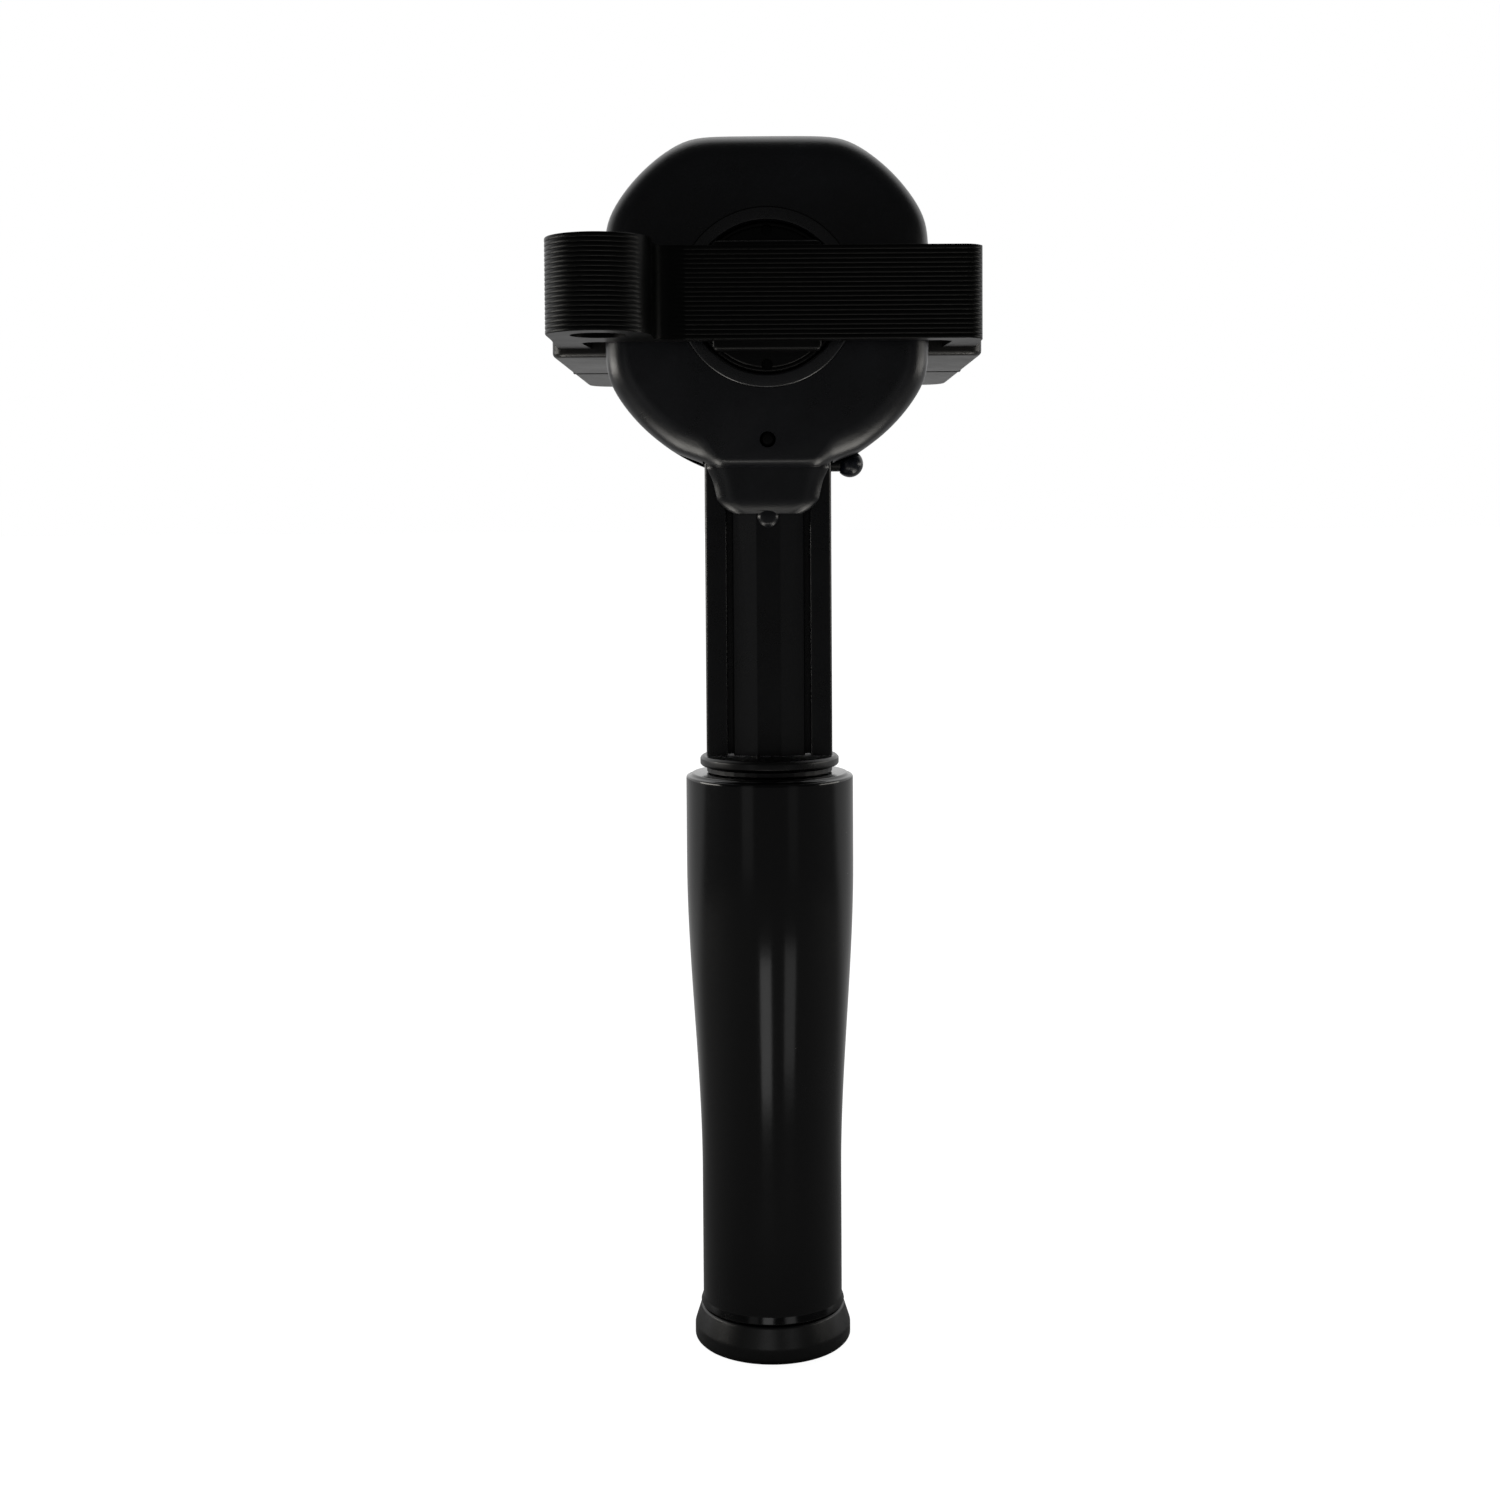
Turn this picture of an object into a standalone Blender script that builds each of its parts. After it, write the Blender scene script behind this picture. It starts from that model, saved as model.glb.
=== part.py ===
"""Reversing ratchet winch handle: head, arm and turning grip, carried on a bridged bearing block.

Frame: X to the right, Y away from the user towards the winch, Z up along the hanging arm.
The origin is the centre of the drive square's end face, on the drive axis, which runs along Y.
All sizes are metres.
"""
import math

import bmesh
import bpy
from mathutils import Matrix, Vector

# ---- Clearances -------------------------------------------------------------------------------
GAP = 0.0003                    # between two pieces that touch or run on each other
SEAM = 0.0003                   # between the two halves of a split casing
CUT_MARGIN = 0.0020             # how far a cutter passes the face that it opens
JOIN_DEPTH = 0.0010             # how far a joined body sinks into its host

# ---- Drive spindle ----------------------------------------------------------------------------
DRIVE_SQUARE = 0.0175           # across the flats, 11/16 inch
DRIVE_LENGTH = 0.0220           # of the male square
DRIVE_CORNER = 0.0012           # radius of its corners
DRIVE_END_EDGE = 0.0010         # rounding of its end
DRIVE_SHOULDER_EDGE = 0.0006    # rounding of its shoulder
SHANK_DIAMETER = 0.0110         # of the round shank in its bushes
TANG_SQUARE = 0.0076            # across the flats of the front tang that turns the hub
TANG_CORNER = 0.0005
TANG_END_EDGE = 0.0003
TANG_FRONT_COVER = 0.0060       # from the head's face to the tang's end
DRIVE_BALL_DIAMETER = 0.0048    # detent ball in one flat of the square
DRIVE_BALL_STANDOUT = 0.0009
DRIVE_SPRING_WIRE = 0.0005
DRIVE_WASHER_THICKNESS = 0.0014
DRIVE_WASHER_DIAMETER = 0.0184

# ---- Bearing block ----------------------------------------------------------------------------
BLOCK_DEPTH = 0.0870            # along the drive axis
BLOCK_HEIGHT = 0.0192
BLOCK_SHOULDER = 0.0015         # block beyond the bridge legs, each side
BLOCK_FRONT_RADIUS = 0.0030     # upright corners beside the legs
BLOCK_REAR_RADIUS = 0.0060      # upright corners beside the winch
BLOCK_EDGE = 0.0010             # rounding of its upper and lower edges
BUSH_WALL = 0.0012
BUSH_LENGTH = 0.0200

# ---- Bridge over the head ---------------------------------------------------------------------
LEG_CLEARANCE = 0.0009          # between the turning head and a leg
LEG_THICKNESS = 0.0067
BRIDGE_TAPER = 0.0015           # by which the bridge narrows from block to front, each side
BRIDGE_HEIGHT = 0.0175
BAR_THICKNESS = 0.0045
BAR_CLEARANCE = 0.0005          # between the hub boss and the bar
BRIDGE_CORNER = 0.0035          # outer corner of bar and leg
BRIDGE_FILLET = 0.0030          # inner corners, and the eye's root
BRIDGE_EDGE = 0.0004            # rounding of its upper and lower edges
EYE_HOLE_DIAMETER = 0.0105
EYE_WALL = 0.00445              # round the hole
EYE_STANDOUT = 0.0090           # hole's axis ahead of the bar's face
LEG_BOLT_DEPTH = 0.0150         # of the bolts into the legs
BLOCK_SCREW_INNER_X = 0.0157    # the inner two of the block's four screws, from the drive axis
BLOCK_SCREW_OUTER_X = 0.0287    # the outer two
BLOCK_SCREW_BITE = 0.0140       # of the block's screws past the seam

# ---- Ratchet head -----------------------------------------------------------------------------
HEAD_RADIUS = 0.0344
HEAD_HALF_WIDTH = 0.0314        # to the side flats
HEAD_TOP = 0.0314               # axis to top flat
HEAD_LIP = 0.0333               # axis to the flat lip over the arm
HEAD_DEPTH = 0.0190
HEAD_FRONT_EDGE = 0.0050        # big rounded rim at the front
HEAD_REAR_EDGE = 0.0012
HEAD_CORNER_SHARPNESS = 44.0    # how tightly the circle turns into its flats
HEAD_WALL = 0.0030              # front and rear walls
HEAD_TO_BLOCK = 0.0010
NECK_LENGTH = 0.0079            # of the tail below the lip
NECK_TOP_WIDTH = 0.0214
NECK_FOOT_WIDTH = 0.0153
NECK_ROOT = 0.0040              # length of the neck inside the head
NECK_STEP = 0.0012              # neck's face behind the head's face
NECK_REAR_STEP = 0.0003         # the same at the rear
NECK_FALL_SHARE = 0.45          # of the neck's depth, by which its foot falls back
NECK_ROUND_SHARE = 0.6          # of the neck's depth, taken by its rounded sides
NECK_NUB_RADIUS = 0.0022
NECK_NUB_FACE = 0.0012          # nub's face ahead of the arm pocket

# ---- Hub and ratchet --------------------------------------------------------------------------
JOURNAL_RADIUS = 0.0144         # front journal, seen as a disc
REAR_JOURNAL_RADIUS = 0.0125
RING_WALL = 0.0023              # of the two rings that the journals run in
RING_PROUD = 0.0003
TOOTH_COUNT = 24
TOOTH_TIP_RADIUS = 0.0190
TOOTH_DEPTH = 0.0020
TOOTH_CLEARANCE = 0.0020        # between the teeth and the cavity that they turn in
BOSS_SQUARE = 0.0208
BOSS_HEIGHT = 0.0040
BOSS_CORNER = 0.0010
BOSS_EDGE = 0.0006
DISC_EDGE = 0.0004
KEY_HOLE_RADIUS = 0.0011        # two holes for a pin key in the disc
KEY_HOLE_DEPTH = 0.0025
KEY_HOLE_REACH = 0.0128         # from the drive axis

# ---- Pawl and selector ------------------------------------------------------------------------
PAWL_AXIS_DROP = 0.0271         # below the drive axis
PAWL_THICKNESS = 0.0080
PAWL_BOSS_RADIUS = 0.0027
PAWL_WINDOW_GAP = 0.0014        # between the pawl's boss and the sides of the arm's window
PAWL_POCKET_WIDTH = 0.0274      # of the casing's pocket round it
PAWL_HORN_BASE = 0.0016         # half the width of a horn at its root
PAWL_HORN_NECK = 0.0009         # half the width of a horn where it enters the teeth
PAWL_HORN_TIP = 0.0005          # half the width of its tip
PAWL_TAIL_HALF = 0.0009         # half the width of the tail in the selector's notch
PAWL_PIN_DIAMETER = 0.0030
PAWL_PIN_SHORT = 0.0008         # pin's ends behind the casing's faces
PAWL_TOOTH_GAP = 1.5            # engaged tooth gap, in tooth pitches from the arm's line
SELECTOR_DROP = 0.0316          # rod's axis below the drive axis
SELECTOR_ROD_DIAMETER = 0.0030
SELECTOR_TRAVEL = 0.0024
SELECTOR_KNOB_DIAMETER = 0.0053
SELECTOR_KNOB_REACH = 0.0158    # knob's centre from the arm's line
SELECTOR_NOTCH_WIDTH = 0.0034
SELECTOR_GROOVE_DEPTH = 0.00025 # of the detent grooves, less than GAP so that the ball clears the land
SELECTOR_BALL_DIAMETER = 0.0022
SELECTOR_SPRING_WIRE = 0.0003
SELECTOR_SPRING_LENGTH = 0.0040

# ---- Arm --------------------------------------------------------------------------------------
ARM_TOP_DROP = 0.0295           # arm's upper end below the drive axis
ARM_LENGTH = 0.0590
ARM_WIDTH = 0.0246
ARM_FLANGE = 0.0042             # width of each side flange
ARM_CHANNEL = 0.0011            # width of the channel beside it
ARM_CHANNEL_DEPTH = 0.0040
ARM_RIDGE = 0.0046              # width of the flat on the middle rib
ARM_FACET_FALL = 0.0013         # middle rib's facets fall back by this
ARM_FLANGE_STEP = 0.0006        # flange behind the middle rib
ARM_EDGE = 0.0005

# ---- Grip -------------------------------------------------------------------------------------
COLLAR_DIAMETER = 0.0274
COLLAR_THICKNESS = 0.0021
GRIP_WASHER_DIAMETER = 0.0248
GRIP_WASHER_THICKNESS = 0.0008
GRIP_LENGTH = 0.1061
GRIP_TOP_RADIUS = 0.0165
GRIP_WAIST_RADIUS = 0.01385
GRIP_FOOT_RADIUS = 0.0143
GRIP_CHAMFER = 0.0009
GRIP_TAPER_START = 0.0177       # below the grip's top
GRIP_TAPER_END = 0.0797
GRIP_FOOT_FLARE = 0.0015        # length of the flare at its foot
GRIP_SPINDLE_DIAMETER = 0.0090
GRIP_SPINDLE_ROOT = 0.0275      # length held in the arm
GRIP_BUSH_WALL = 0.0017
GRIP_BUSH_LENGTH = 0.0130
GRIP_CORE_WALL = 0.0032
CAP_RADIUS = 0.0155
CAP_FLARE = 0.0036
CAP_RIM = 0.0036
CAP_EDGE = 0.0007
CAP_PLUG = 0.0042               # length of the plug inside the core
SPINDLE_TO_PLUG = 0.0080        # from the spindle's end to the cap's plug

# ---- Fasteners --------------------------------------------------------------------------------
BOLT_DIAMETER = 0.0040
BOLT_HEAD_DIAMETER = 0.0070
BOLT_HEAD_HEIGHT = 0.0040
HEAD_SINK = 0.0010              # of a bolt's head below the face
SCREW_DIAMETER = 0.0030
SCREW_HEAD_DIAMETER = 0.0055
SCREW_HEAD_HEIGHT = 0.0018
SCREW_SINK = 0.0002
SCREW_MOUTH = 0.0040            # length of the way cut ahead of a sunk head
CASING_SCREW_ANGLES = (38, 142, 205, 335)   # degrees round the drive axis
NECK_SCREW_X = 0.0043           # the neck's two screws, from the arm's line
NECK_SCREW_RISE = 0.0041        # above the neck's foot
NECK_SCREW_COVER = 0.0012       # nylon left ahead of their tips
HUB_SCREW_DIAMETER = 0.0040
HUB_SCREW_LENGTH = 0.0160
END_SCREW_DIAMETER = 0.0040
END_SCREW_LENGTH = 0.0120
END_SCREW_HEAD_HEIGHT = 0.0022
END_WASHER_THICKNESS = 0.0012
END_WASHER_SHORT = 0.0004       # washer's rim inside the bush's outer face
KEY_RECESS_SHARE = 0.4          # key recess radius in a screw head's radius
KEY_RECESS_DEPTH_SHARE = 0.6    # its depth in the head's height

# ---- Places that follow from the sizes ---------------------------------------------------------
block_rear_y = -(DRIVE_LENGTH + DRIVE_WASHER_THICKNESS + 2 * GAP)
block_front_y = block_rear_y - BLOCK_DEPTH
block_seam_y = (block_rear_y + block_front_y) / 2
head_rear_y = block_front_y - HEAD_TO_BLOCK
head_front_y = head_rear_y - HEAD_DEPTH
head_seam_y = (head_rear_y + head_front_y) / 2
cavity_rear_y = head_rear_y - HEAD_WALL
cavity_front_y = head_front_y + HEAD_WALL
works_rear_y = cavity_rear_y - GAP          # gear and arm lie between these two planes
works_front_y = cavity_front_y + GAP
boss_front_y = head_front_y - BOSS_HEIGHT
bar_back_y = boss_front_y - BAR_CLEARANCE
bar_front_y = bar_back_y - BAR_THICKNESS

leg_inner_x = HEAD_RADIUS + LEG_CLEARANCE
leg_outer_x = leg_inner_x + LEG_THICKNESS
leg_middle_x = (leg_inner_x + leg_outer_x) / 2
bar_end_x = leg_outer_x - BRIDGE_TAPER
block_half_width = leg_outer_x + BLOCK_SHOULDER
eye_radius = EYE_HOLE_DIAMETER / 2 + EYE_WALL
eye_x = -(bar_end_x - eye_radius)
eye_y = bar_front_y - EYE_STANDOUT

shank_radius = SHANK_DIAMETER / 2
bush_inner = shank_radius + GAP
bush_outer = bush_inner + BUSH_WALL
block_bore = bush_outer + GAP
ring_inner = JOURNAL_RADIUS + GAP
ring_outer = ring_inner + RING_WALL
rear_ring_inner = REAR_JOURNAL_RADIUS + GAP
rear_ring_outer = rear_ring_inner + RING_WALL
gear_cavity = TOOTH_TIP_RADIUS + TOOTH_CLEARANCE
tooth_pitch = 2 * math.pi / TOOTH_COUNT

pawl_z = -PAWL_AXIS_DROP
selector_z = -SELECTOR_DROP
tail_reach = SELECTOR_DROP - PAWL_AXIS_DROP
pawl_tilt = math.asin(SELECTOR_TRAVEL / 2 / tail_reach)
arm_top_z = -ARM_TOP_DROP
arm_end_z = arm_top_z - ARM_LENGTH
arm_half = ARM_WIDTH / 2
neck_end_z = -(HEAD_LIP + NECK_LENGTH)

collar_top_z = arm_end_z - GAP
collar_end_z = collar_top_z - COLLAR_THICKNESS
grip_washer_top_z = collar_end_z - GAP
grip_washer_end_z = grip_washer_top_z - GRIP_WASHER_THICKNESS
grip_top_z = grip_washer_end_z - GAP
grip_end_z = grip_top_z - GRIP_LENGTH
grip_spindle_radius = GRIP_SPINDLE_DIAMETER / 2
grip_bush_inner = grip_spindle_radius + GAP
grip_bush_outer = grip_bush_inner + GRIP_BUSH_WALL
grip_core_inner = grip_bush_outer + GAP
grip_core_outer = grip_core_inner + GRIP_CORE_WALL
grip_sleeve_inner = grip_core_outer + GAP
cap_top_z = grip_end_z - GAP
spindle_end_z = grip_end_z + CAP_PLUG + SPINDLE_TO_PLUG

DRIVE_AXIS = Vector((0, 1, 0))
ARM_AXIS = Vector((0, 0, -1))


# ---- Tools ------------------------------------------------------------------------------------
def clear_scene():
    for thing in list(bpy.data.objects):
        bpy.data.objects.remove(thing, do_unlink=True)


def material(name, colour, roughness, metallic=0.0):
    made = bpy.data.materials.new(name)
    made.use_nodes = True
    shader = made.node_tree.nodes["Principled BSDF"]
    shader.inputs["Base Color"].default_value = (*colour, 1.0)
    shader.inputs["Roughness"].default_value = roughness
    shader.inputs["Metallic"].default_value = metallic
    return made


def add_solid(name, points, faces, finish=None):
    """One closed body from points and faces, its normals turned outwards."""
    mesh = bpy.data.meshes.new(name)
    body = bmesh.new()
    corners = [body.verts.new(point) for point in points]
    for face in faces:
        body.faces.new([corners[index] for index in face])
    bmesh.ops.recalc_face_normals(body, faces=body.faces)
    body.to_mesh(mesh)
    body.free()
    mesh.shade_smooth()
    mesh.set_sharp_from_angle(angle=math.radians(32))
    made = bpy.data.objects.new(name, mesh)
    bpy.context.collection.objects.link(made)
    if finish:
        mesh.materials.append(finish)
    return made


def loft(name, rings, finish=None):
    """A solid skinned over rings of equal length and closed at both ends."""
    count = len(rings[0])
    points = [point for ring in rings for point in ring]
    faces = [list(range(count)), list(range(len(points) - count, len(points)))]
    for row in range(len(rings) - 1):
        for index in range(count):
            after = (index + 1) % count
            low = row * count
            faces.append([low + index, low + after, low + count + after, low + count + index])
    return add_solid(name, points, faces, finish)


def turn(name, profile, origin, axis, finish=None, segments=36):
    """A turned solid: profile points are (radius, distance along the axis from the origin).

    A profile that starts and ends on the axis makes a plain solid. Any other makes a ring.
    """
    axis = Vector(axis).normalized()
    side = axis.orthogonal().normalized()
    across = axis.cross(side)
    points = []
    rows = []
    for radius, along in profile:
        middle = Vector(origin) + axis * along
        steps = 1 if radius == 0 else segments
        row = []
        for step in range(steps):
            angle = 2 * math.pi * step / steps
            row.append(len(points))
            points.append(middle + (side * math.cos(angle) + across * math.sin(angle)) * radius)
        rows.append(row)
    pairs = list(zip(rows, rows[1:]))
    if profile[0][0] != 0:
        pairs.append((rows[-1], rows[0]))
    faces = []
    for first, second in pairs:
        for step in range(segments):
            after = (step + 1) % segments
            corners = [first[step % len(first)], first[after % len(first)]]
            corners += [second[after % len(second)], second[step % len(second)]]
            faces.append(list(dict.fromkeys(corners)))
    return add_solid(name, points, [face for face in faces if len(face) > 2], finish)


def rod(name, radius, start, end, finish=None, segments=16):
    """A plain cylinder between two points."""
    start = Vector(start)
    end = Vector(end)
    length = (end - start).length
    profile = [(0, 0), (radius, 0), (radius, length), (0, length)]
    return turn(name, profile, start, end - start, finish, segments)


def tube(name, inner, outer, start, end, finish=None, segments=32):
    """A plain ring or bush between two points."""
    start = Vector(start)
    end = Vector(end)
    length = (end - start).length
    profile = [(inner, 0), (outer, 0), (outer, length), (inner, length)]
    return turn(name, profile, start, end - start, finish, segments)


def screw(name, start, direction, diameter, head, length, finish, hosts):
    """A cap screw whose head's top is at start, and the way for it through each host.

    The head is (diameter, height). It has a round key recess.
    """
    radius = diameter / 2
    head_radius = head[0] / 2
    head_height = head[1]
    recess = head_radius * KEY_RECESS_SHARE
    profile = [
        (0, head_height * KEY_RECESS_DEPTH_SHARE),
        (recess, head_height * KEY_RECESS_DEPTH_SHARE),
        (recess, 0),
        (head_radius, 0),
        (head_radius, head_height),
        (radius, head_height),
        (radius, head_height + length),
        (0, head_height + length),
    ]
    turn(name, profile, start, direction, finish, 12)
    way_profile = [
        (0, -SCREW_MOUTH),
        (head_radius + GAP, -SCREW_MOUTH),
        (head_radius + GAP, head_height + GAP),
        (radius + GAP, head_height + GAP),
        (radius + GAP, head_height + length + GAP),
        (0, head_height + length + GAP),
    ]
    way = turn(name + "_way", way_profile, start, direction, None, 12)
    for host in hosts:
        cut(host, way)


def rounded(corners, steps=5):
    """A closed outline from (x, y, radius) corners, each corner with a radius drawn as an arc."""
    outline = []
    for index, (x, y, radius) in enumerate(corners):
        corner = Vector((x, y))
        if radius == 0:
            outline.append(corner)
            continue
        before = Vector(corners[index - 1][:2])
        after = Vector(corners[(index + 1) % len(corners)][:2])
        towards_before = (before - corner).normalized()
        towards_after = (after - corner).normalized()
        half = towards_before.angle(towards_after) / 2
        centre = corner + (towards_before + towards_after).normalized() * radius / math.sin(half)
        first = corner + towards_before * radius / math.tan(half) - centre
        turn_by = first.angle_signed(corner + towards_after * radius / math.tan(half) - centre)
        for step in range(steps + 1):
            outline.append(centre + Matrix.Rotation(-turn_by * step / steps, 2) @ first)
    return outline


def inset(outline, distance):
    """The outline, drawn anticlockwise, moved inwards by a distance with mitred corners."""
    moved = []
    for index, point in enumerate(outline):
        coming = (point - outline[index - 1]).normalized()
        going = (outline[(index + 1) % len(outline)] - point).normalized()
        inward = Vector((-coming.y, coming.x))
        mitre = (inward + Vector((-going.y, going.x))).normalized()
        moved.append(point + mitre * distance / mitre.dot(inward))
    return moved


def slab(name, outline, low, high, along, finish=None, low_edge=0.0, high_edge=0.0, steps=4):
    """An outline swept along Y or Z from low to high, with its rims rounded by the edge radii."""
    def place(point, height):
        return Vector((point.x, height, point.y)) if along == "Y" else Vector((point.x, point.y, height))

    levels = []
    for radius, start, inward in ((low_edge, low, 1), (high_edge, high, -1)):
        side = [(0.0, start)]
        if radius > 0:
            angles = [math.pi / 2 * step / steps for step in range(steps + 1)]
            side = [
                (radius * (1 - math.sin(angle)), start + inward * radius * (1 - math.cos(angle)))
                for angle in angles
            ]
        levels += side if inward == 1 else side[::-1]
    rings = [[place(point, height) for point in inset(outline, depth)] for depth, height in levels]
    return loft(name, rings, finish)


def box(name, low, high, finish=None):
    """A plain block between two opposite corners."""
    outline = [
        Vector((low[0], low[1])),
        Vector((high[0], low[1])),
        Vector((high[0], high[1])),
        Vector((low[0], high[1])),
    ]
    return slab(name, outline, low[2], high[2], "Z", finish)


def combine(target, other, operation):
    """Cuts the other body from the target, or unites it with the target, and hides the other."""
    change = target.modifiers.new(other.name, "BOOLEAN")
    change.operation = operation
    change.solver = "EXACT"
    change.object = other
    other.hide_render = True
    other.display_type = "WIRE"


def cut(target, *cutters):
    for cutter in cutters:
        combine(target, cutter, "DIFFERENCE")


def join(target, *others):
    for other in others:
        combine(target, other, "UNION")


def spring(name, radius, wire, turns, start, end, finish):
    """A coil spring as a bevelled curve between two points."""
    start = Vector(start)
    end = Vector(end)
    axis = (end - start).normalized()
    side = axis.orthogonal().normalized()
    across = axis.cross(side)
    per_turn = 8
    count = turns * per_turn
    path = bpy.data.curves.new(name, "CURVE")
    path.dimensions = "3D"
    path.bevel_depth = wire / 2
    path.bevel_resolution = 0
    path.use_fill_caps = True
    line = path.splines.new("POLY")
    line.points.add(count)
    for index, knot in enumerate(line.points):
        angle = 2 * math.pi * index / per_turn
        centre = start.lerp(end, index / count)
        place = centre + (side * math.cos(angle) + across * math.sin(angle)) * radius
        knot.co = (*place, 1.0)
    path.materials.append(finish)
    made = bpy.data.objects.new(name, path)
    bpy.context.collection.objects.link(made)
    return made


# ---- Bearing block, bridge and what holds them ------------------------------------------------
def block_half(name, near_y, far_y, near_radius, far_radius, finish):
    """One half of the block in plan, rounded at its outer corners and bored for the spindle."""
    plan = rounded([
        (-block_half_width, near_y, near_radius),
        (block_half_width, near_y, near_radius),
        (block_half_width, far_y, far_radius),
        (-block_half_width, far_y, far_radius),
    ])
    half = BLOCK_HEIGHT / 2
    made = slab(name, plan, -half, half, "Z", finish, BLOCK_EDGE, BLOCK_EDGE, 3)
    bore_start = (0, near_y - CUT_MARGIN, 0)
    bore_end = (0, far_y + CUT_MARGIN, 0)
    cut(made, rod(name + "_bore", block_bore, bore_start, bore_end, segments=32))
    return made


def make_block():
    nylon = material("block_nylon", (0.012, 0.012, 0.012), 0.5)
    bronze = material("bush_bronze", (0.35, 0.24, 0.12), 0.4, 1.0)
    seam_front_y = block_seam_y - SEAM / 2
    seam_rear_y = block_seam_y + SEAM / 2
    front = block_half("block_front_half", block_front_y, seam_front_y, BLOCK_FRONT_RADIUS, 0, nylon)
    rear = block_half("block_rear_half", seam_rear_y, block_rear_y, 0, BLOCK_REAR_RADIUS, nylon)
    front_bush_end_y = block_front_y + BUSH_LENGTH
    rear_bush_end_y = block_rear_y - BUSH_LENGTH
    tube("front_bush", bush_inner, bush_outer, (0, block_front_y, 0), (0, front_bush_end_y, 0), bronze)
    tube("rear_bush", bush_inner, bush_outer, (0, rear_bush_end_y, 0), (0, block_rear_y, 0), bronze)
    return front, rear


def fasten_block(front, rear, bridge):
    """Two bolts from the seam into the bridge's legs, then four screws from the rear over the seam."""
    steel = material("bolt_steel", (0.45, 0.45, 0.46), 0.3, 1.0)
    head = (BOLT_HEAD_DIAMETER, BOLT_HEAD_HEIGHT)
    bolt_top_y = block_seam_y - SEAM / 2 - HEAD_SINK
    bolt_length = bolt_top_y - BOLT_HEAD_HEIGHT - block_front_y + LEG_BOLT_DEPTH
    forward = (0, -1, 0)
    for side, tag in ((-1, "left"), (1, "right")):
        start = (side * leg_middle_x, bolt_top_y, 0)
        screw("bridge_bolt_" + tag, start, forward, BOLT_DIAMETER, head, bolt_length, steel, (front, bridge))
    screw_top_y = block_rear_y - HEAD_SINK
    screw_length = BLOCK_DEPTH / 2 + BLOCK_SCREW_BITE - BOLT_HEAD_HEIGHT
    places = (-BLOCK_SCREW_OUTER_X, -BLOCK_SCREW_INNER_X, BLOCK_SCREW_INNER_X, BLOCK_SCREW_OUTER_X)
    for number, x in enumerate(places):
        name = "block_screw_%d" % (number + 1)
        screw(name, (x, screw_top_y, 0), forward, BOLT_DIAMETER, head, screw_length, steel, (front, rear))


def bridge_plan():
    """The bridge seen from above, anticlockwise from the left leg's foot at the block."""
    foot_y = block_front_y - GAP
    eye_side_x = eye_x + eye_radius
    plan = rounded([
        (-leg_inner_x, foot_y, 0),
        (-leg_outer_x, foot_y, 0),
        (-bar_end_x, bar_front_y, 0),
    ])
    eye_steps = 16
    for step in range(eye_steps + 1):
        angle = math.pi + math.pi * step / eye_steps
        plan.append(Vector((eye_x + eye_radius * math.cos(angle), eye_y + eye_radius * math.sin(angle))))
    plan += rounded([
        (eye_side_x, eye_y, 0),
        (eye_side_x, bar_front_y, BRIDGE_FILLET),
        (bar_end_x, bar_front_y, BRIDGE_CORNER),
        (leg_outer_x, foot_y, 0),
        (leg_inner_x, foot_y, 0),
        (leg_inner_x, bar_back_y, BRIDGE_FILLET),
        (-leg_inner_x, bar_back_y, BRIDGE_FILLET),
        (-leg_inner_x, foot_y, 0),
    ])[1:-1]
    return plan


def make_bridge():
    nylon = material("bridge_nylon", (0.008, 0.008, 0.009), 0.45)
    half = BRIDGE_HEIGHT / 2
    bridge = slab("bridge_bar", bridge_plan(), -half, half, "Z", nylon, BRIDGE_EDGE, BRIDGE_EDGE, 1)
    reach = half + CUT_MARGIN
    hole_start = (eye_x, eye_y, -reach)
    hole_end = (eye_x, eye_y, reach)
    cut(bridge, rod("eye_hole", EYE_HOLE_DIAMETER / 2, hole_start, hole_end, segments=32))
    return bridge


# ---- Drive spindle and ratchet hub ------------------------------------------------------------
def square_outline(size, corner, steps=3):
    half = size / 2
    return rounded([
        (-half, -half, corner),
        (half, -half, corner),
        (half, half, corner),
        (-half, half, corner),
    ], steps)


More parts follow.
